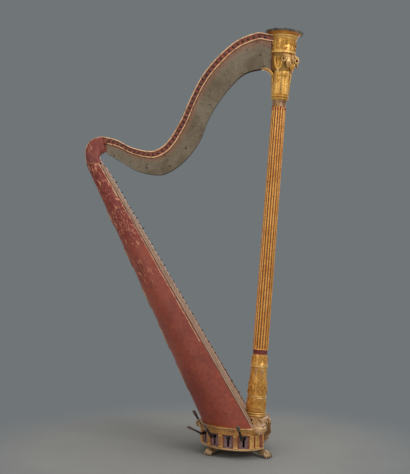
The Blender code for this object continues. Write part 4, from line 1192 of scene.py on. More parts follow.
@dataclass
class Neck:
    """Curved neck with its pins, both action plates, and the shoulder."""

    outline: Rows = (
        (326.4, 1682.4, 314.2, 1518.9), (289.4, 1687, 301, 1540), (250, 1690, 274, 1545),
        (170, 1658, 208.4, 1527.9), (95, 1595, 154.7, 1482.3), (32, 1519, 98.9, 1412.3),
        (-14.2, 1433.5, 56, 1339), (-55.8, 1339, 20, 1250), (-106.2, 1255.2, -40.3, 1171.8),
        (-150, 1219, -108, 1124), (-190, 1211.5, -162, 1115), (-258.4, 1227.9, -235, 1132),
        (-316, 1257, -300, 1169), (-372, 1271, -363, 1206))
    shoulder: Rows = (
        (-383, 1271.1, -373, 1204), (-413.9, 1261.3, -381, 1199), (-437.5, 1237.7, -385, 1190.9),
        (-445.3, 1208, -384, 1181), (-444, 1183.1, -379, 1172))
    stations: int = 156
    core: float = 17.0
    depth: float = 30.0
    plate: float = 2.2
    strings: int = 43
    pin_first: float = 0.045      # shares of the top edge's length
    pin_last: float = 0.975
    fork_share: float = 0.42      # of the neck's depth, under the beads
    half: float = 26.8            # over the beads
    rearmost: float = -445.2      # as far as the shoulder may reach

    def __post_init__(self) -> None:
        """The top edge and the plates' lower edge, as (x, z)."""
        seat = AXIS @ at(-38.3, 0, 1547.5)
        first, last = self.outline[0], self.outline[-1]
        wide = (seat.x - last[0]) / (first[0] - last[0])
        tall = (seat.z - last[1]) / (first[1] - last[1])
        top = [at(last[0] + (row[0] - last[0]) * wide, last[1] + (row[1] - last[1]) * tall)
               for row in self.outline]
        low = [spot + at(row[2] - row[0], row[3] - row[1]) for spot, row in zip(top, self.outline)]
        self.top = curve(top, self.stations)
        self.low = curve(low, self.stations)

    def rings(self, section: Callable[[float], Profile], first: int = 0,
              last: int | None = None) -> list[list[Vector]]:
        """The section, given as (down, across) for a depth of neck, at every station.

        Args:
            section: gives the points for a depth.
            first: station.
            last: station that is left out, if any.

        Returns:
            A ring for each station.
        """
        made = []
        for a, b in list(zip(self.top, self.low))[first:last]:
            down = (b - a).normalized()
            made.append([at(a.x + down.x * u, v, a.y + down.y * u)
                         for u, v in section((b - a).length)])
        return made

    def build_wood(self) -> None:
        """The neck's wood with its two gilded beads and the red groove between them."""
        half = ((-0.6, 6, 0), (-0.3, 18, 0), (0.5, 23.5, 0.3), (1.7, 26, 0.9), (3.2, 26.8, 1),
                (4.8, 26.2, 0.9), (6, 24.2, 0.2), (6.6, 21.4, 0), (9, 20.8, 0), (15, 20.4, 0),
                (21, 20.8, 0), (23.4, 21.4, 0), (24.2, 24.2, 0.2), (25.4, 26.2, 0.9), (27, 26.8, 1),
                (28.6, 26.2, 0.9), (29.6, 24, 0.4), (30, 20, 0), (30.4, 17, 0))
        marks = [m for _, _, m in half] + [0.0, 0.0] + [m for _, _, m in reversed(half)]

        def section(deep: float) -> Profile:
            """Both halves of the section."""
            right = [(u, v) for u, v, _ in half] + [(deep - 4, self.core)]
            return right + [(u, -v) for u, v in reversed(right)]

        last, points = self.stations - 1, len(marks)

        def gilt(r: int, c: int) -> float:
            """The section's mark; the lower bead fades before the shoulder."""
            return marks[c] * (1.0 if min(c, points - 1 - c) < 9 else min(1, (last - r) / 7))

        wood = Shape().skin(self.rings(section), mark=gilt)
        wood.piece("neck_wood", Finishes.GROOVE, "neck", crease=60)

    def pins(self) -> list[tuple[Vector, Vector, float]]:
        """Where each string's pin crosses: the edge, the way down and the neck's depth.

        Returns:
            One row for each string.
        """
        lengths = [0.0]
        for a, b in zip(self.top, self.top[1:]):
            lengths.append(lengths[-1] + (b - a).length)
        made = []
        way = self.pin_last - self.pin_first
        for t in shares(self.strings):
            want = lengths[-1] * (self.pin_first + way * (1.15 * t - 0.15 * t ** 2))
            n = min(max(i for i, far in enumerate(lengths) if far <= want), len(lengths) - 2)
            share = (want - lengths[n]) / (lengths[n + 1] - lengths[n])
            edge = self.top[n].lerp(self.top[n + 1], share)
            down = self.low[n].lerp(self.low[n + 1], share) - edge
            made.append((edge, down.normalized(), down.length))
        return made

    def at_pin(self, pin: tuple[Vector, Vector, float], down: float, y: float,
               share: float = 0.0) -> Matrix:
        """A place on a string's line across the neck, +Z towards the player's left.

        Args:
            pin: the string's row of pins().
            down: from the top edge.
            y: across the harp.
            share: of the neck's depth, added to that.

        Returns:
            The place.
        """
        edge, way, deep = pin
        spot = edge + way * (down + share * deep)
        return move(spot.x, y, spot.y) @ spin(-90, "X")

    def build_pins(self) -> None:
        """Tuning pins, dark collars for their holes and painted shadow, fork discs, bridge pins,
        screws and spindle ends.
        """
        pins = self.pins()
        pin = Shape().turned(
            ((0, -29.3), (2, -29.2), (2.7, -28.4), (2.9, -24.5), (2.3, -23.5), (2.3, 24), (2, 27),
             (1.5, 28), (1.5, 29.4), (2.1, 30.4), (2.1, 33.6), (1.4, 34.8), (0, 35)), 10)
        middle = self.depth / 2
        places = [self.at_pin(p, middle + 0.6 * sin(3 * k), 0) for k, p in enumerate(pins)]
        REPEAT.piece("tuning_pins", pin, places, Finishes.STEEL)
        # dark collars round the pins: the holes in the wood, and painted shadow of the pins
        hole_shadow_collar = Shape().turned(
            ((2.3, 20), (5.7, 20), (5.9, 21), (4.2, 21.8), (2.3, 21.2)), 14, loop=True)
        hole_shadow_collar.turned(((2.3, -20), (5.7, -20), (5.9, -21), (4.2, -21.8), (2.3, -21.2)), 14, loop=True)
        REPEAT.piece("pin_bushings", hole_shadow_collar, [self.at_pin(p, middle, 0) for p in pins],
                     Finishes.PIN_HOLE_SHADOW)
        face = self.core + 0.3 + self.plate
        fork_down = self.depth * 0.58
        disc = Shape().turned(
            ((0, -0.6), (5.2, -0.6), (5.3, 1.4), (4.6, 2.2), (3.4, 1.8), (0, 2.3)), 16)
        for side in (-1, 1):
            disc.turned(((0, 1.5), (1.1, 1.5), (1.1, 5.6), (0.6, 6.2), (0, 6.2)), 8,
                        move(side * 3.1, side * 0.8, 0))
        forks = [self.at_pin(p, fork_down, face, self.fork_share)
                 @ Matrix.Rotation(0.5 + 0.1 * k, 4, "Z") for k, p in enumerate(pins[1:-1])]
        REPEAT.piece("fork_discs", disc, forks, Finishes.BRASS)
        bridge = Shape().turned(((0, -0.5), (1.9, -0.5), (2, 1.6), (1.5, 2.2), (1.5, 8.4),
                                 (2.3, 8.8), (2.3, 10.6), (1.6, 11.4), (0, 11.6)), 10)
        places = [self.at_pin(p, self.depth + 9, face) for p in pins[1:-1]]
        REPEAT.piece("bridge_pins", bridge, places, Finishes.BRASS)
        spindle = Shape().turned(
            ((0, 0.4), (2.9, 0.4), (3.1, -0.5), (2.5, -1.1), (1.2, -0.9), (0, -1.3)), 12)
        ends = [self.at_pin(p, fork_down + 3.5 * sin(2.3 * k), -face, self.fork_share)
                @ Matrix.Scale(0.75 + 0.3 * sin(5.1 * k), 4) for k, p in enumerate(pins[1:-1])]
        REPEAT.piece("spindle_ends", spindle, ends, Finishes.STEEL, uneven=0.22, seed=7,
                     slot="plate_metal")
        screw = Shape()
        for angle in (0, 180):
            half_disc = [at(0.35, 0, 0)]
            for n in range(9):
                a = pi * (n / 8 - 0.5)
                half_disc.append(at(0.35 + 3.0 * cos(a), 3.3 * sin(a), 0))
            place = spin(angle)
            screw.skin([[place @ (p * size + UP * z) for p in half_disc]
                        for size, z in ((1, -0.6), (1, 0.5), (0.86, 1.1))])
        screw.turned(((0, -0.6), (3.2, -0.6), (3.2, 0.3), (0, 0.3)), 14)
        places = []
        for side in (-1, 1):
            flip = spin(180, "X") if side < 0 else Matrix()
            for k in range(2, self.strings - 2, 4):
                for down, share in ((self.depth + 4.5, 0), (-6, 1)):
                    places.append(self.at_pin(pins[k], down, side * face, share) @ flip
                                  @ Matrix.Scale(0.85, 4) @ Matrix.Rotation(k * 1.3, 4, "Z"))
        REPEAT.piece("plate_screws", screw, places, Finishes.STEEL)

    def build_plates(self) -> None:
        """Both action plates, with their edges eased."""
        ends = round(self.stations / 31)
        for name, side in (("right", -1), ("left", 1)):
            near, far = side * (self.core + 0.3), side * (self.core + 0.3 + self.plate)
            ease = side * 0.5

            def section(deep: float) -> Profile:
                """A flat bar from under the lower bead to the plate's lower edge.

                Args:
                    deep: the neck's depth.

                Returns:
                    The points as (down, across).
                """
                start = self.depth + 0.6
                return [(start, near), (start, far - ease), (start + 0.6, far),
                        (start + (deep - start) * 0.3, far), (deep - 0.6, far), (deep, far - ease),
                        (deep, near), (deep * 0.5, near)]

            # the marks warm the upper edge and darken the lower edge with painted shade
            marks = (0, -0.9, -0.9, 0, 0, 0.8, 0.9, 0)
            bar = Shape().skin(self.rings(section, ends, -2), mark=lambda r, c: marks[c])
            bar.piece(f"action_plate_{name}_metal", Finishes.PLATE, f"action_plate_{name}")

    def build_shoulder(self) -> None:
        """The block from the neck down on to the sound box, pale gold along its outer edge."""
        box = SoundBox()
        seam_z = box.top_z + 0.3
        top, low = self.top[-1], self.low[-1]
        aside = at(-0.3, 0)
        outer = [top + aside, *[at(a, b) for a, b, _, _ in self.shoulder], at(box.back_top, seam_z)]
        inner = [low + (top - low).normalized() * 4 + aside,
                 *[at(c, d) for _, _, c, d in self.shoulder], at(box.board_top + 7, seam_z)]
        count = 44
        rings = []
        edges = curve(outer, count), curve(inner, count)
        for t, a, b in zip(shares(count), *edges):
            half = self.half + (box.top_half - self.half) * t ** 1.5
            right = []
            for n in range(17):
                share = 1 - cos(pi / 2 * n / 16)
                block = (1 - abs(2 * share - 1) ** 7) ** 0.3 if 0 < n < 16 else 0.55
                past = max(0, 1 - share / 0.895) ** (1 / ROUND)
                rounded = sqrt(max(0, 1 - past ** 2)) ** ROUND
                wide = block + (rounded - block) * t ** 1.3
                spot = a.lerp(b, share)
                spot.x = max(spot.x, self.rearmost)
                right.append(at(spot.x, half * max(0.5 - 0.47 * t, wide), spot.y))
            rings.append(right + [at(p.x, -p.y, p.z) for p in reversed(right)])
        wood = Shape().skin(rings, mark=lambda r, c: 0.9 if min(c, 33 - c) in (1, 2, 3) else 0)
        wood.piece("shoulder_wood", Finishes.SHOULDER, "shoulder_block", crease=50)
        path = [p + at(0, 0, 0.2) for p in box.round_back(box.top_z, -0.2)]
        Shape().tube(path, 0.9, 6).piece("shoulder_seam", Finishes.BEIGE)

    def build_bracket(self) -> None:
        """The gold arc under the neck where it meets the capital."""
        path = curve(((272, 0, 1546.5), (287, 0, 1546), (301, 0, 1540.5), (313, 0, 1529),
                      (321, 0, 1513), (326, 0, 1494)), 28)
        section = ((-0.5, 0.96), (0.1, 1), (0.6, 0.97), (0.9, 0.9), (1, 0.6), (1, -0.6),
                   (0.9, -0.9), (0.6, -0.97), (0.1, -1), (-0.5, -0.96))
        half = 21.5
        rings = []
        for t, point in zip(shares(28), path):
            high = 1.2 + 4.0 * sin(pi * min(1, t * 1.15)) ** 0.7
            slant = at(-0.55 - 0.4 * t, 0, -0.8 + 0.5 * t).normalized()
            rings.append([point + slant * u * high + at(0, v * half, 0) for u, v in section])
        Shape().skin(rings).piece("neck_bracket", Finishes.BRIGHT)

    def build(self) -> None:
        """Every piece of the neck."""
        self.build_wood()
        self.build_pins()
        self.build_plates()
        self.build_shoulder()
        self.build_bracket()


# Column


@dataclass
class Column:
    """Turned base, fluted shaft and capital, all on the leaning axis."""

    shaft_s: float = 252.0
    shaft_length: float = 1034.0
    bell_s: float = 1286.0
    heads_s: float = 1402.0
    band_s: float = 1472.0
    crown_s: float = 1550.0
    flutes: int = 16

    def round_bore(self, outer: Profile, steps: int = 72, mark: Mark | None = None,
                   swell: Rule | None = None) -> Shape:
        """A turned form about the axis, from its outer side going up; the bore is its inside."""
        profile = [*outer, (BORE, outer[-1][1]), (BORE, outer[0][1])]
        return Shape().turned(profile, steps, AXIS, True, mark, swell)

    def build_base(self) -> None:
        """Turned lower part with its rings and rows of leaves."""
        outer = [(37, 0.2), *bead(39.5, 5, 3.2), (39, 9.6), *bead(38.6, 14.2, 3.6), (38.6, 19.2),
                 (40.2, 20.4), (39.6, 40), (38.6, 68), (38.2, 71.5), *bead(37.6, 76.5, 2.6),
                 *bead(36.8, 82.4, 2), (36.4, 86), (36, 110), (34.6, 160), (33.2, 197),
                 *bead(34, 202.6, 3.2), *bead(33.2, 208.2, 1.8), (32, 211.5), (30.6, 230),
                 (29.2, 248), (28.9, 251.7)]
        rings = ((2.5, 7.5), (12, 17), (74.5, 84), (199.5, 209))

        def lit(r: int, c: int) -> float:
            """Light gold on the rings."""
            up = outer[r][1] if r < len(outer) else 0.0
            return -1.0 if any(low < up < high for low, high in rings) else 0.0

        base = self.round_bore(outer, 80, mark=lit)
        base.piece("column_base_turned", Finishes.FOOT, "column_base")
        REPEAT.piece("column_base_leaves", upright_leaf(44, 12, 2.5, 5),
                     round_axis(39.9, 23, 8, 22.5, -1.5), Finishes.FOOT)
        rows = [*round_axis(36.8, 88, 10, 0, -1.5), *round_axis(36.2, 104, 10, 18, -1.5, 0.95),
                *round_axis(35.6, 120, 10, 0, -1.5, 0.9)]
        REPEAT.piece("column_foliage", upright_leaf(25, 10, 2.6, 3, 2.2, 10), rows, Finishes.FOOT,
                     uneven=0.08, seed=3)
        drop = Shape()
        for k in range(4):
            drop.ball((0.2, 0, -9.0 * k), 3.4 - 0.55 * k, (0.6, 1, 1.35), sides=10)
        drop.leaf([at(0.2, 0, 12 - 2 * k) for k in range(9)], OUT, 8, 3, 1.3, side=ACROSS)
        REPEAT.piece("column_husks", drop, round_axis(33.8, 182, 8, 22.5, -1.5), Finishes.BEIGE)
        REPEAT.piece("column_top_leaves", upright_leaf(33, 9.5, 2.4, 4, 1.3, 12),
                     round_axis(32.2, 213, 8, 0, -2.5), Finishes.FOOT)

    def build_shaft(self) -> None:
        """The fluted shaft with its wine-red foot band and worn top band."""
        low, high = self.shaft_s, self.shaft_s + self.shaft_length - 0.3
        levels = [low + 18.6, low + 21, low + 24, low + 27]
        levels += [low + 30 + (high - low - 62) * k / 40 for k in range(41)]
        levels += [high - 31.6, high - 29.5, high - 27.6]

        def radius(s: float) -> float:
            """The shaft's taper."""
            return 31.4 - 2.9 * (s - low) / (high - low)

        inside = [(BORE, high - 27.6), (BORE, low + 18.6)]
        profile = [(radius(s), s) for s in levels] + inside
        shaft = Shape().turned(profile, self.flutes * 12, loop=True)
        obj = shaft.object("column_shaft_fluted", None, 60)
        run_tree(obj, Fluting().tree, {"Flutes": self.flutes, "Depth": 3.3 * MM, "Bore": BORE * MM,
                                       "Start": (low + 19) * MM, "End": (high - 28) * MM,
                                       "Finish": Finishes.SHAFT.value.material()})
        obj.data.transform(Matrix.Translation(FOOT * MM) @ Matrix.Rotation(LEAN, 4, "Y"))
        dress(obj, Finishes.SHAFT)
        place_piece(obj, "old_gilding", "column_shaft")
        band = self.round_bore(
            [(28.6, low), (29.4, low + 1.2), (29, low + 5), *bead(28.6, low + 9.4, 1.6),
             (28.6, low + 14), (29.4, low + 17.6), (30.2, low + 18.4)], 64)
        band.piece("shaft_foot_band", Finishes.BAND)
        worn = self.round_bore(
            [(28.6, high - 27.4), (29.3, high - 26.6), (28.5, high - 24), (28.4, high - 12),
             *bead(28.2, high - 8.6, 1.4), (28.4, high - 4), (28.6, high)], 64)
        worn.piece("shaft_top_band", Finishes.WORN, slot="pale_gilding")
        tips = Shape().ball((0, 0, 0), 3.6, (0.5, 1, 2.2), sides=8)
        REPEAT.piece("flute_tips", tips,
                     round_axis(27.8, high - 35, self.flutes, 180 / self.flutes), Finishes.BAND)

    def build_bell(self) -> None:
        """The panelled bell over its ring, with a palmette on each panel."""
        s = self.bell_s
        ring = [(31.5, s), *bead(32.6, s + 4.6, 2.6), (32.2, s + 8.2), *bead(33.4, s + 13.6, 3.6),
                (32.6, s + 18.4), (33.6, s + 20.6), (32.2, s + 22.8)]
        self.round_bore(ring).piece("bell_ring", Finishes.BRIGHT)

        def swell(angle: float) -> float:
            """Flat panels between thin ribs.

            Args:
                angle: round the column.

            Returns:
                The radius's scale.
            """
            turn = (angle / (2 * pi) * 8) % 1 - 0.5
            flat = cos(pi / 8) / cos(turn * pi / 4)
            return flat * (1.03 if abs(turn) > 0.44 else 1)

        body = [(35.4 + 4.8 * (k / 20) ** 1.1, s + 22.6 + 93.1 * k / 20) for k in range(21)]

        def rib(r: int, c: int) -> float:
            """Light on the ribs, dark beside them."""
            turn = abs((c / 16) % 1 - 0.5)
            return 0.0 if r >= len(body) else -1.0 if turn > 0.44 else 0.55 if turn > 0.37 else 0.0

        bell = self.round_bore(body, 128, swell=swell, mark=rib)
        bell.piece("bell_panels", Finishes.BRIGHT, "capital_bell", crease=24)
        flower = Shape()
        for k in range(7):
            turn = spin(-66 + 22 * k, "X")
            flower.leaf([turn @ at(0.6 + 0.05 * n, 0, 1.5 + n * (2.2 - 0.16 * abs(k - 3)))
                         for n in range(8)], OUT, 2.6, 1, 1.1, 0.3)
        flower.ball((1.2, 0, 0), 2.9, (0.8, 1, 1), sides=10)
        flower.leaf([at(0.6, 0, -2.0 - 2.4 * n) for n in range(10)], OUT, 4.6, 3, 1.2)
        REPEAT.piece("bell_palmettes", flower, round_axis(38, s + 92, 8, 22.5, 2.5),
                     Finishes.BRIGHT)
        stem = Shape()
        for k in range(5):
            stem.ball((0, 0, -9.0 * k), 2.2 - 0.2 * k, (0.6, 1, 1.5), sides=8)
        REPEAT.piece("bell_drops", stem, round_axis(35.6, s + 62, 8, 22.5, 2.5), Finishes.BRIGHT)

    def ram(self) -> Shape:
        """A ram's head with curled horns that looks along +X, its brow at the origin's height.

        Returns:
            The head.
        """
        shape = Shape()
        stations = ((-6, 13, 13, 14), (0, 14, 13.5, 14), (8, 13, 13.5, 13), (14, 9, 12.6, 12),
                    (17.8, 3, 11, 10.4), (19.6, -5, 9.4, 8.6), (19.8, -12, 8.6, 7),
                    (18, -17.5, 6.4, 4.6))
        shape.skin([[at(x + deep * 0.32 * sin(a), wide * cos(a), z + deep * 0.72 * sin(a))
                     for a in circle(18)] for x, z, wide, deep in stations])
        for side in (-1, 1):
            shape.ball((19, side * 7.8, 8.2), 2.6, sides=12)
            shape.tube([at(19.6 - abs(n) * 0.5, side * (7.8 + n), 11.6 - 0.1 * n * n)
                        for n in range(-4, 5)], 1.3, 6)
            shape.ball((21.4, side * 3.6, -12.5), 1.9, (1, 1, 0.8), sides=8)
            horn = move(10, side * 14.5, 1) @ Matrix.Rotation(side * -0.5, 4, "Z")
            curl = []
            for t in shares(40):
                a = radians(105 - 520 * t)
                r = 11.2 * (1 - 0.78 * t)
                spot = at(1.5 + r * cos(a) + 4 * t, side * 9.0 * t ** 0.7, 4.5 + r * sin(a))
                curl.append(horn @ spot)
            shape.tube(curl, lambda t: 4.7 * (1 - 0.72 * t) * (1 + 0.07 * sin(t * 110)), 10)
            shape.leaf([at(6 - 0.3 * n, side * (10 + 1.6 * n), -1.5 - 0.9 * n) for n in range(9)],
                       at(0.9, 0, 0.3), 3.6, 1, 1.3, 0.5)
        for k in range(-2, 3):
            for n in range(3):
                shape.ball((19.0 - 3.2 * n - abs(k), 3.6 * k, 13.5 + 3.6 * n - abs(k)), 2.5,
                           sides=8)
        return shape

    def build_heads(self) -> None:
        """The ring of ram's heads, with swags hung between them."""
        s = self.heads_s
        gaps = (-36, 36, 113, -113)    # degrees round the column
        core = [(40.5, s), (42.5, s + 6), (44.6, s + 18), (46.6, s + 36), (46.8, s + 52),
                (44.5, s + 62), (44, s + 69.7)]
        # the core's mark darkens it with painted shade between the heads and swags
        dark = self.round_bore(core, mark=lambda r, c: 0.7)
        dark.piece("heads_core", Finishes.BRIGHT, "capital_heads")
        places = [AXIS @ spin(a) @ move(35.5, 0, s + 39) @ Matrix.Scale(1.26, 4)
                  for a in (0, 68, -68)]
        Shape().copies(self.ram(), places).piece("ram_heads", Finishes.HEADS)
        swag = Shape().ball((-0.5, 0, -3), 13.5, (0.5, 0.92, 1.75), sides=20)
        for k in range(-2, 3):
            swag.tube([at(6.0 - 0.02 * n * n - 0.9 * abs(k), k * (3.0 + 0.05 * n), 18 - 4.2 * n)
                       for n in range(9)], lambda t: 1.7 * (1 - 0.5 * t), 6)
        path = [at(3.5 - 2.0 * sin(a), 15.6 * cos(a), 18 - 47 * sin(a) ** 0.8)
                for a in (pi * k / 24 for k in range(25))]
        swag.tube(path, lambda t: 5.2 * (0.55 + 0.45 * sin(pi * t)) * (1 + 0.06 * sin(90 * t)), 10)
        places = [AXIS @ spin(a) @ move(46, 0, s + 35) for a in gaps]
        Shape().copies(swag, places).piece("swags", Finishes.BRIGHT)
        knot = Shape().leaf([at(1.5 + 0.2 * n, 0, -1.9 * n) for n in range(9)], OUT, 6.5, 3, 1.6,
                            side=ACROSS)
        knots = [AXIS @ spin(a) @ move(47.5, 0, s + 8) for a in gaps]
        REPEAT.piece("swag_leaves", knot, knots, Finishes.BEIGE)

    def build_frieze(self) -> None:
        """Ledge, foliage scrolls and cornice."""
        s = self.band_s
        outer = [(49, s), (51.6, s + 1), (52.6, s + 4), (52.8, s + 7.4), (51.8, s + 10.2),
                 (50.2, s + 12.4), (48.6, s + 14), (48.2, s + 34), (48.6, s + 56), (50.2, s + 58.4),
                 *bead(51.2, s + 62.2, 2), (51.4, s + 65.6), (53.4, s + 67.4),
                 *bead(54.2, s + 71.6, 2.2), (55.4, s + 75.4), (56.6, s + 77.7)]

        def lit(r: int, c: int) -> float:
            """Light gold on the ledge, the bead and the cornice."""
            up = outer[r][1] - s if r < len(outer) else 0.0
            return -0.9 if 2 < up < 9 or 60 < up < 64 or 69 < up < 74 else 0.0

        frieze = self.round_bore(outer, 88, mark=lit)
        frieze.piece("capital_frieze_turned", Finishes.BRIGHT, "capital_frieze")
        scroll = Shape()
        for hand in (-1, 1):
            curl = [at(1.2, p.x + hand * 8.6, p.y + 4) for p in spiral(8.6, 1.2, 1.6, 30, -hand)]
            scroll.tube(curl, lambda t: 2.3 * (1 - 0.45 * t), 8)
            scroll.ball((2, hand * 8.6, 4), 2.8, (0.8, 1, 1), sides=8)
            stem = [(1, hand * y, z) for y, z in ((0.6, -19), (2.6, -14), (1.4, -9), (0.4, -3))]
            scroll.tube(curve(stem, 10), 1.7, 7)
            scroll.leaf([at(0.8, hand * (2 + 1.5 * n), -17 + 0.75 * n) for n in range(9)], OUT, 4.4,
                        3, 1.3)
            scroll.leaf([at(0.8, hand * (3 + 1.3 * n), 13 + 0.6 * n) for n in range(8)], OUT, 3.6,
                        2, 1.2)
        scroll.leaf([at(0.8, 0, 4 + 1.9 * n) for n in range(8)], OUT, 4.6, 2, 1.4)
        REPEAT.piece("frieze_scrolls", scroll, round_axis(48.4, s + 34.5, 8, 0), Finishes.BRIGHT)
        pearl = Shape().ball((0, 0, 0), 1.5, sides=8)
        REPEAT.piece("cornice_beads", pearl, round_axis(52, s + 66.4, 72), Finishes.BRIGHT)

    def build_crown(self) -> None:
        """The flared crown and its rim of blackened palmettes."""
        s = self.crown_s
        profile = [(0, s + 0.2), (59, s + 0.2), (62, s + 1.6), (66, s + 4), (70, s + 6.8),
                   (72.6, s + 8.8), (74, s + 10.4), (74.4, s + 12), (73, s + 13), (69, s + 10.6),
                   (62.5, s + 8.2), (61.4, s + 9.8), (59, s + 9.8), (57.6, s + 8), (20, s + 7.6),
                   (18.6, s + 9), (15, s + 9.4), (0, s + 9.6)]
        marks = (0.5, 0.3, 0.15, 0.3, 0.4, 0.6, 0.8, 0.9, 0.7, 0.5, 0.8, 0, 0, 0.7, 0.7, 0, 0, 0.1)
        flare = Shape().turned(profile, 96, AXIS, mark=lambda r, c: marks[r])
        flare.piece("crown_flare", Finishes.SHAFT, "crown")
        petal = upright_leaf(11.5, 9.4, 1.2, 2, 1.2, 10)
        REPEAT.piece("crown_palmettes", petal, round_axis(71.8, s + 5, 26, 4, 22), Finishes.RIM,
                     uneven=0.13, seed=11)
        bud = upright_leaf(8.6, 4.4, 1, 1, 1.1, 8)
        REPEAT.piece("crown_buds", bud, round_axis(73.2, s + 7, 26, 4 + 180 / 26, 22), Finishes.RIM,
                     uneven=0.16, seed=12)

    def build(self) -> None:
        """Every piece of the column."""
        self.build_base()
        self.build_shaft()
        self.build_bell()
        self.build_heads()
        self.build_frieze()
        self.build_crown()


# Base


@dataclass
class Base:
    """Plinth, wall with its pilasters, frieze, mantle, console and paws."""

    middle: float = 197.0
    rear: float = 169.0
    half: float = 187.0
    front: float = 70.0
    corner: float = 35.0
    wall_z: float = 42.3
    frieze_z: float = 93.6
    top_z: float = 121.6
    slots: tuple[int, ...] = (24, 46, 67, 88)
    rib_pitch: float = 16.9
    console_half: float = 36.0
    seat: float = 43.5            # radius of the column's seat on the mantle
    paw_low: float = 0.2
    paw_high: float = 32.7
    paws: tuple[tuple[str, int, int, int], ...] = (
        ("paw_front_right", 268, -138, -47), ("paw_front_left", 268, 138, 47),
        ("paw_rear_right", 76, -88, -138), ("paw_rear_left", 76, 88, 138))

    def plan(self, outset: float) -> list[Vector]:
        """The base's outline, moved out by a distance.

        Args:
            outset: the distance.

        Returns:
            Its points, in the floor's plane.
        """
        points = [at(self.middle + self.front * k / 16, -self.half + self.corner * (k / 16) ** 2)
                  for k in range(17)]
        wide = (self.half - self.corner) * 2
        points += [at(self.middle + self.front, -self.half + self.corner + wide * k / 16)
                   for k in range(1, 16)]
        points += [at(p.x, -p.y) for p in reversed(points[:17])]
        points += [at(self.middle - self.rear * sin(pi * k / 96), self.half * cos(pi * k / 96))
                   for k in range(1, 96)]
        made = []
        for k, point in enumerate(points):
            before = (point - points[k - 1]).normalized()
            after = (points[(k + 1) % len(points)] - point).normalized()
            side = at(before.y + after.y, -before.x - after.x) / (1 + before.dot(after))
            made.append(point + side * outset)
        return made

    def ring(self, profile: Profile, loop: bool = True) -> Shape:
        """A moulding round the base from (outset, height)."""
        return Shape().skin([[at(p.x, p.y, z) for p in self.plan(out)] for out, z in profile],
                            loop=loop)

    def on_wall(self, angle: float, side: int, out: float = 0.0, z: float = 0.0) -> Matrix:
        """A place on the wall whose +X looks out of it.

        Args:
            angle: from the rear, in degrees.
            side: -1 for the player's right, 1 for the left.
            out: off the wall.
            z: the height.

        Returns:
            The place.
        """
        t = radians(angle)
        spot = at(self.middle - self.rear * cos(t), side * self.half * sin(t), z)
        way = at(-cos(t) / self.rear, side * sin(t) / self.half, 0).normalized()
        return Matrix.Translation(spot + way * out) @ Matrix.Rotation(atan2(way.y, way.x), 4, "Z")

    def build_mouldings(self) -> None:
        """Plinth and frieze with their rows of carving."""
        plinth = self.ring(((0.5, 33), (3.8, 33.6), (5.4, 35.2), (5.8, 37.4), (5, 39.6),
                            (3.2, 40.6), (2.6, 41.2), (1.2, 42)), loop=False)
        plinth.piece("plinth_moulding", Finishes.BEIGE, "base_floor")
        z, top = self.frieze_z, self.top_z
        outer = ((3, z), (4.4, z + 0.6), (5.2, z + 2.2), (4.4, z + 4), (3, z + 4.8), (2.8, z + 8),
                 (3.1, z + 13), (3.6, z + 17.6), (4.6, z + 19.4), (4.2, z + 20.6), (5.6, z + 21.6),
                 (7.2, z + 23.2), (7.6, z + 25.2), (6.8, z + 27.2), (5.2, top))
        inner = ((-15, top), (-15, top - 14.3), (-25, top - 14.3), (-25, z))
        self.ring(outer + inner).piece("base_frieze_moulding", Finishes.OCHRE, "base_frieze")
        edge = self.plan(6.2)
        cord = Shape().tube([at(p.x, p.y, z + 25) for p in [*edge, edge[0]]], 1.9, 8)
        cord.piece("frieze_top_bead", Finishes.BEIGE)
        leaf = upright_leaf(13.5, 5.6, 0.8, 2, 1, 8)
        places = []
        for side in (-1, 1):
            for k in range(29):
                places.append(self.on_wall(1.7 + 3.25 * k, side, 2.4, z + 4.6))
            for k in range(3):
                out = self.half + 2.4 - 0.05 * k - 1.9 * (0.2 * (k + 1)) ** 2 * 5
                places.append(move(self.middle + 12 + 12.5 * k, side * out, z + 4.6)
                              @ spin(side * (86 - 5 * k)))
        REPEAT.piece("frieze_leaves", leaf, places, Finishes.OCHRE, uneven=0.04, seed=5)

    def rib_places(self) -> list[Matrix]:
        """Where the wall's pilasters stand.

        Returns:
            The places.
        """
        made = []
        for side in (-1, 1):
            for first, second in zip((0, *self.slots), self.slots):
                centre = second / 2.6 if first == 0 else (first + second) / 2
                made += [self.on_wall(centre + step, side, 0, self.wall_z)
                         for step in (-1.35, 1.35)]
            made += [move(self.middle + x, side * (self.half - y), self.wall_z) @ spin(side * turn)
                     for x, y, turn in ((21.5, 3.3, 84), (29, 6, 79), (43, 13.2, 74),
                                        (50.5, 18.2, 70))]
        for k in range(-8, 9):
            if abs(k * self.rib_pitch) > self.console_half + 7.5:
                made.append(move(self.middle + self.front, k * self.rib_pitch, self.wall_z))
        return made

    def build_wall(self) -> None:
        """Gilded pilasters on the wall and the slot plates' screws."""
        rings = []
        for z, out in ((0.4, 6.2), (5, 6.2), (5.6, 5.4), (6.6, 5.2), (44, 5.2), (45, 5.6),
                       (46, 6.4), (50.4, 6.4)):
            half = 4.1 if out > 6 else 3.8
            groove = 0.9 if 5.5 < z < 45.5 else 0.0
            right = [(-1, half), (out - 0.5, half), (out, half - 0.5), (out, 2.4),
                     (out - groove, 1.9), (out - groove, 0.9), (out, 0.4)]
            rings.append([at(x, -y, z) for x, y in right]
                         + [at(x, y, z) for x, y in reversed(right)])
        REPEAT.piece("wall_pilasters", Shape().skin(rings), self.rib_places(), Finishes.PILASTER)
        screw = Shape().turned(
            ((0, -0.4), (2, -0.4), (2.1, 0.6), (1.3, 1.1), (0, 1.2)), 10, spin(90, "Y"))
        corners = [self.on_wall(angle, side, -1.2, self.wall_z) @ move(0, y, z) for side in (-1, 1)
                   for angle in self.slots if side < 0 or angle < 80 for y in (-13.4, 13.4)
                   for z in (4, 47)]
        REPEAT.piece("slot_plate_screws", screw, corners, Finishes.IRON)

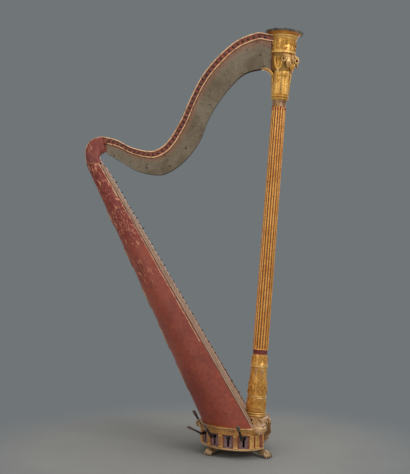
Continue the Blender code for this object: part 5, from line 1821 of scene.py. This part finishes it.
    def build_mantle(self) -> None:
        """The carved mantle of leaves that carries the column."""
        half_plan = ((301, 0), (297, 30), (281, 52), (270, 80), (262, 115), (252, 138), (240, 146),
                     (236, 128), (236, 85), (237, 45), (225, 36), (208, 21), (203, 0))
        side = curve(half_plan, 49)
        plan = side + [at(p.x, -p.y) for p in reversed(side[1:-1])]
        count = len(plan)
        levels = ((0, 0), (0, 0.28), (0.03, 0.5), (0.10, 0.66), (0.22, 0.75), (0.38, 0.80),
                  (0.56, 0.85), (0.74, 0.93), (0.88, 0.99))
        rings = []
        for share, up in levels:
            ring = []
            for a, point in zip(circle(count), plan):
                seat = at(FOOT.x + self.seat * cos(a), self.seat * sin(a))
                spot = point.lerp(seat, share)
                ripple = 1.5 * sin(a * 22) * sin(pi * min(1, share * 1.6 + 0.1)) * (up > 0.3)
                ring.append(at(spot.x, spot.y, self.top_z + 0.3 + 14 * up + ripple))
            rings.append(ring)
        for radius in (self.seat, 24):
            rings.append([AXIS @ at(radius * cos(a), radius * sin(a), -0.3) for a in circle(count)])
        rings.append([at(FOOT.x - 1 + 25 * cos(a), 25 * sin(a), self.top_z + 0.3)
                      for a in circle(count)])
        core = Shape().skin(rings, loop=True)
        core.piece("column_mantle_carved", Finishes.BEIGE, "column_mantle")

        def down(t: float) -> Vector:
            """Up at the leaf's foot, outwards from its middle on."""
            return at(min(1, t * 1.8), 0, max(0, 1 - t * 1.8)).normalized()

        leaves = Shape()
        for hand in (-1, 1):
            for foot, knee, tip, low, half in (((246, 64), (248, 132), (248, 174), 97, 24),
                                               ((258, 62), (264, 122), (267, 153), 102, 15)):
                spine = curve(((foot[0], hand * foot[1], 133), (knee[0], hand * knee[1], 129),
                               (tip[0], hand * tip[1], 124),
                               (tip[0] + 2, hand * (tip[1] + 6), (124 + low) / 2),
                               (tip[0] + 3, hand * (tip[1] + 6), low + 4),
                               (tip[0] + 4, hand * (tip[1] + 10), low)), 26)
                way = at(tip[0] - foot[0], hand * (tip[1] - foot[1]), 0).normalized()

                def over(t: float, way: Vector = way) -> Vector:
                    """Up at first, then the leaf's own way once it is over the edge."""
                    return UP.lerp(way, min(1, max(0, t - 0.4) * 4)).normalized()

                leaves.leaf(spine, over, half, 5, 3, 0.6, side=at(-way.y, way.x, 0))
            for x, y, z, size in ((281, 92, 124, 8.5), (296, 44, 126, 7.5)):
                curl = [at(x, hand * y, z) + at(p.x, hand * 0.3 * p.x, p.y)
                        for p in spiral(size, 1.4, 1.5, 28)]
                leaves.tube(curl, lambda t: 3.0 * (1 - 0.5 * t), 8)
            for y, low, half in ((54, 97, 15), (82, 101, 14), (109, 98, 15), (136, 102, 12)):
                path = ((255, 0.7, 135), (268, 0.88, 131.5), (277, 0.97, 127), (279.5, 1, 119),
                        (278.5, 1, (119 + low) / 2), (281, 1, low))
                spine = curve([(x, hand * y * pull, z) for x, pull, z in path], 24)
                leaves.leaf(spine, down, half, 4, 2.6, 0.7, side=ACROSS)
        for x in (-18, 0, 18):
            spine = curve(((284, x * 0.8, 134), (296, x, 130), (303, x * 1.2, 124),
                           (305, x * 1.3, 116)), 14)
            leaves.leaf(spine, lambda t: at(t, 0, 1 - t).normalized(), 10, 3, 2, 0.5, side=ACROSS)
        leaves.piece("mantle_leaves", Finishes.BEIGE)

    def build_console(self) -> None:
        """The scrolled bracket in front, panelled between raised outlines."""
        front = 274.6
        outline = ((0, 121), (24, 121), (31, 117), (33, 110), (28, 103), (31, 94), (31, 78),
                   (24, 66), (13, 58), (16, 50), (11, 43.5), (0, 43.5))
        points = curve([(front + x, z) for x, z in outline], 66)
        rings = []
        for y, inset in ((-36, 1.2), (-35, 0), (-30, 0), (-28.6, 1.4), (28.6, 1.4), (30, 0),
                         (35, 0), (36, 1.2)):
            rings.append([at(max(front, p.x - inset), y, p.y) for p in points])
        Shape().skin(rings).piece("front_console_carved", Finishes.WORN, "front_console")
        trims = Shape()
        for y in (-35, 35):
            trims.tube([at(p.x + 0.3, y, p.y) for p in points[3:-2]], 2.4, 8)
            for x, z, size, turns in ((15, 52, 9, 1.6), (24, 112, 8, 1.4)):
                curl = [at(front + x + p.x, y + copysign(1, y), z + p.y)
                        for p in spiral(size, 1.3, turns, 30)]
                trims.tube(curl, lambda t: 2.5 * (1 - 0.45 * t), 8)
        path = ((30, 113), (27, 103), (31, 92), (31.5, 80), (26, 66), (17, 58))
        spine = curve([(front + x, 0, z) for x, z in path], 22)
        trims.leaf(spine, lambda t: at(1, 0, -0.4 * t).normalized(), 17, 5, 2.4, 0.5, side=ACROSS)
        trims.piece("console_scrolls", Finishes.BEIGE)

    def paw(self) -> Shape:
        """One lion's paw along +X, standing on the floor.

        Returns:
            The paw.
        """
        stations = ((-34, 25, 7, 13), (-20, 23.5, 9, 15), (-4, 20, 10.5, 16), (10, 16, 12, 17.5),
                    (22, 13, 11.5, 18.5), (28, 11, 9.5, 17), (31, 10, 6, 13))

        def swelling(size: float) -> Rule:
            """A toe's radius along it, greatest before its end."""
            return lambda t: size * (0.85 + 0.3 * sin(pi * min(1, t * 1.15)) ** 2)

        rings = []
        for x, z, half_high, half_wide in stations:
            rings.append([at(x, half_wide * cos(a),
                             min(32.4, max(self.paw_low, z + 1.15 * half_high * sin(a))))
                          for a in circle(20)])
        shape = Shape().skin(rings)
        for y, reach, size in ((-13.5, 33, 5.6), (-4.7, 37, 6.3), (4.7, 37, 6.3), (13.5, 33, 5.6)):
            toe = curve(((8, y * 0.7, 21), (18, y * 0.9, 20), (reach - 10, y, 15.5),
                         (reach - 4, y * 1.04, 9), (reach - 1, y * 1.06, 5.4)), 12)
            shape.tube(toe, swelling(size), 10)
            shape.ball((reach - 9, y, 16), size * 1.06, (1.1, 1, 1), sides=12)
            shape.tube([at(reach + 1 + 1.3 * k, y * 1.08, 5.2 - 0.85 * k) for k in range(4)],
                       lambda t: 2.4 * (1 - 0.75 * t), 8)
        for y in (-11, -5, 0, 5, 11):
            path = ((-30, y, 30), (-12, y * 1.15, 29), (4, y * 1.2, 26), (13, y * 1.1, 23))
            shape.tube(curve(path, 9), lambda t: 2.6 * (1 - 0.6 * t), 8)
        return shape

    def build_paws(self) -> None:
        """Four paws, each grown together into one skin."""
        for name, x, y, turn in self.paws:
            place = move(x, y, 0) @ spin(turn)
            obj = Shape().copies(self.paw(), [place]).object(name + "_carved", Finishes.PAWS)
            melt = obj.modifiers.new("melt", "REMESH")
            melt.mode = "VOXEL"
            melt.voxel_size = 1.15 * MM
            ease = obj.modifiers.new("ease", "SMOOTH")
            ease.iterations = 3
            applied(obj)
            dress(obj, Finishes.PAWS)
            for vert in obj.data.vertices:
                vert.co.z = min(max(vert.co.z, self.paw_low * MM), self.paw_high * MM)
            place_piece(obj, "pale_gilding", name)

    def build_rear(self) -> None:
        """The carved scroll at the rear of the frieze."""
        shape = Shape()
        for y in (-9, 9):
            curl = [at(18 - p.x, y, 106 + p.y) for p in spiral(10, 1.6, 1.5, 30)]
            shape.tube(curl, lambda t: 3.0 * (1 - 0.4 * t), 9)
        spine = curve(((30, 0, 121), (22, 0, 121.5), (12, 0, 118), (7.5, 0, 108), (10, 0, 98),
                       (18, 0, 94)), 20)
        shape.leaf(spine, lambda t: at(-1, 0, 0.8 - 1.6 * t).normalized(), 14, 4, 2.2, 0.5,
                   side=ACROSS)
        for y in (-24, 24):
            spine = curve(((24, y * 0.5, 116), (19, y * 0.9, 112), (20, y * 1.4, 104),
                           (25, y * 1.8, 98)), 14)
            shape.leaf(spine, at(-1, 0, 0.2).normalized(), 8, 3, 1.8, 0.5)
        shape.piece("rear_scroll", Finishes.BEIGE)

    def build(self) -> None:
        """Every piece of the base."""
        self.build_mouldings()
        self.build_wall()
        self.build_mantle()
        self.build_console()
        self.build_paws()
        self.build_rear()


# Pedals


@dataclass
class Pedals:
    """The folding tips with their caps, hinge pins and rubbed brass pads."""

    tips: tuple[tuple[str, int, int], ...] = (
        ("right_1", 212, 28), ("right_2", 226, 54), ("right_4", 240, 58), ("left_1", 142, 52),
        ("left_2", 134, 54), ("left_3", 126, 54))
    inner: float = 2.2            # of the cheeks at the hinge, from the middle
    outer: float = 5.2
    bar: Rows = ((9, 5.2, 3.4), (13, 5.3, 3.6), (24, 4.8, 3.3), (38, 4.6, 3), (48, 5, 3.2))
    cap: Rows = ((45.5, 5.4, 3.6, 1), (46.2, 6.2, 4.4, 1.4), (58, 6.4, 4.6, 1.6),
                 (66.5, 6.2, 4.4, 1.8), (69, 5.2, 3.4, 1.6), (70, 3.4, 2, 1))

    def frame_of(self, name: str, heading: float, rest: float) -> Matrix:
        """The tip's frame at its hinge: +X along the tip."""
        joint = next(j for j in frame["joints"] if j["name"] == "fold_" + name)
        return Matrix.Translation(Vector(joint["pos_m"]) / MM) @ spin(heading) @ spin(-rest, "Y")

    def section(self, place: Matrix, x: float, wide: float, high: float,
                ease: float = 1.1) -> list[Vector]:
        """An eased oblong across the tip.

        Args:
            place: the tip's frame.
            x: along the tip.
            wide: half width.
            high: half height.
            ease: off each corner.

        Returns:
            The points.
        """
        corners = []
        for sy, sz in ((1, 1), (-1, 1), (-1, -1), (1, -1)):
            first, second = (sy * wide, sz * (high - ease)), (sy * (wide - ease), sz * high)
            corners += [first, second] if sy * sz > 0 else [second, first]
        return [place @ at(x, y, z) for y, z in corners]

    def build(self) -> None:
        """Every tip."""
        for name, heading, rest in self.tips:
            place = self.frame_of(name, heading, rest)
            iron = Shape()
            hinge = place @ spin(-90, "X")
            for side in (-1, 1):
                near, far = side * self.inner, side * self.outer
                iron.turned(((0, near), (4.6, near), (5, side * 2.6), (5, side * 4.8), (4.5, far),
                             (0, far)), 20, hinge)
                cheek = ((near, -3.4), (far, -3.4), (far, 3.4), (near, 3.4))
                iron.skin([[place @ at(x, y, z) for y, z in cheek] for x in (0, 12)])
            iron.skin([self.section(place, *row) for row in self.bar])
            iron.turned(((0, -5.9), (2.4, -5.9), (2.8, -5.5), (2.8, -5.1), (1.7, -5), (1.7, 5),
                         (2.8, 5.1), (2.8, 5.5), (2.4, 5.9), (0, 5.9)), 14, hinge)
            iron.piece(f"pedal_tip_{name}_iron", Finishes.IRON, f"pedal_tip_{name}",
                       body=f"tip_{name}")
            pad = Shape().skin([self.section(place, *row) for row in self.cap])
            for x in (50, 62):
                pad.turned(((0, 4), (1.3, 4), (1.3, 4.8), (0.8, 5.2), (0, 5.2)), 8,
                           place @ move(x, 0, 0))
            pad.piece(f"pedal_cap_{name}", Finishes.PAD, body=f"tip_{name}")


# Finishes of the nodes that stay


KEPT = (("base_deck", Finishes.BEECH), ("body_rib", Finishes.BEECH), ("rod_guide", Finishes.BEECH),
        ("soundboard", Finishes.SPRUCE), ("edge_binding", Finishes.BINDING),
        ("pedal_box_wall", Finishes.BAY), ("slot_plate", Finishes.SLOT),
        ("pedal_arm", Finishes.IRON), ("pedal_bearing", Finishes.IRON),
        ("pedal_rod", Finishes.STEEL))


def dress_kept_nodes() -> None:
    """Gives every frame node that stays its finish."""
    for name, obj in frame["nodes"].items():
        if obj.hide_render:
            continue
        finish = next((f for start, f in KEPT if name.startswith(start)), Finishes.OCHRE)
        dress(obj, finish)
        LOG.info("%s keeps its shape, in %s", name, finish.value.name)


# Studio


@dataclass
class Studio:
    """Pale floor, plain background, soft lamps and the camera."""

    floor: Colour = tone(158, 158, 154)
    floor_patch: Colour = tone(140, 141, 139)
    floor_radius: float = 1.6     # metres
    fade: tuple[float, float] = (0.5, 1.15)
    background: Colour = tone(112, 117, 120)
    light: Colour = (1.0, 0.985, 0.96, 1.0)
    light_strength: float = 0.36
    lamps: tuple[Lamp, ...] = (
        ("key", (2.6, -3.2, 2.7), 2.2, 86), ("fill", (-2.4, -3.3, 1.1), 2.8, 33),
        ("top", (0.2, -0.3, 4.2), 2.6, 36), ("back", (0.9, 3.8, 2.2), 2.6, 22))
    lit_height: float = 0.8       # where the lamps point, in metres
    camera_place: Triple = (0.042, -3.8, 0.863)
    lens: float = 70.9

    def build_floor(self) -> None:
        """A round floor that fades into the background."""
        mesh = bpy.data.meshes.new("floor")
        bm = bmesh.new()
        bmesh.ops.create_circle(bm, cap_ends=True, segments=96, radius=self.floor_radius)
        bm.to_mesh(mesh)
        bm.free()
        floor = linked("floor", mesh)
        material = bpy.data.materials.new("studio_floor")
        material.use_nodes = True
        shade = Shade(material.node_tree)
        far = shade.wire("ShaderNodeVectorMath", {"operation": "LENGTH"}, {0: shade.place}, "Value")
        colour = shade.blend(self.floor, self.floor_patch, shade.cloud(2.2, 3))
        plain = shade.wire("ShaderNodeBsdfDiffuse", None, {"Color": colour})
        clear = shade.wire("ShaderNodeBsdfTransparent")
        mixed = shade.wire("ShaderNodeMixShader", None,
                           {0: shade.step(far, *self.fade), 1: plain, 2: clear})
        shade.node("ShaderNodeOutputMaterial", None, {"Surface": mixed})
        mesh.materials.append(material)

    def build_light(self) -> None:
        """Soft lamps all round, and a plain world."""
        for name, spot, size, power in self.lamps:
            data = bpy.data.lights.new(name, "AREA")
            data.shape, data.size, data.energy = "DISK", size, power
            lamp = linked(name, data)
            lamp.location = spot
            aim = at(0, 0, self.lit_height) - Vector(spot)
            lamp.rotation_euler = aim.to_track_quat("-Z", "Y").to_euler()
        world = bpy.data.worlds.new("studio")
        world.use_nodes = True
        bpy.context.scene.world = world
        net = Net(world.node_tree)
        seen = net.wire("ShaderNodeLightPath", output="Is Camera Ray")
        plain = net.wire("ShaderNodeBackground", None, {"Color": self.background, "Strength": 1.0})
        light = net.wire("ShaderNodeBackground", None,
                         {"Color": self.light, "Strength": self.light_strength})
        mixed = net.wire("ShaderNodeMixShader", None, {0: seen, 1: light, 2: plain})
        net.node("ShaderNodeOutputWorld", None, {"Surface": mixed})

    def build_camera(self) -> None:
        """The camera level with the middle of the harp, before its right side."""
        data = bpy.data.cameras.new("camera")
        data.lens = self.lens
        camera = linked("camera", data)
        camera.location = self.camera_place
        camera.rotation_euler = (pi / 2, 0, 0)
        bpy.context.scene.camera = camera

    def build(self) -> None:
        """Everything that isn't the harp."""
        self.build_floor()
        self.build_light()
        self.build_camera()
        bpy.context.scene.view_settings.view_transform = "Standard"


def main() -> None:
    """Builds the harp's looks in order."""
    logging.basicConfig(level=logging.INFO, format="%(name)s: %(message)s")
    Studio().build()
    for assembly in (SoundBox(), Neck(), Column(), Base(), Pedals()):
        assembly.build()
        LOG.info("%s is done", type(assembly).__name__)
    dress_kept_nodes()


if __name__ == "__main__":
    main()
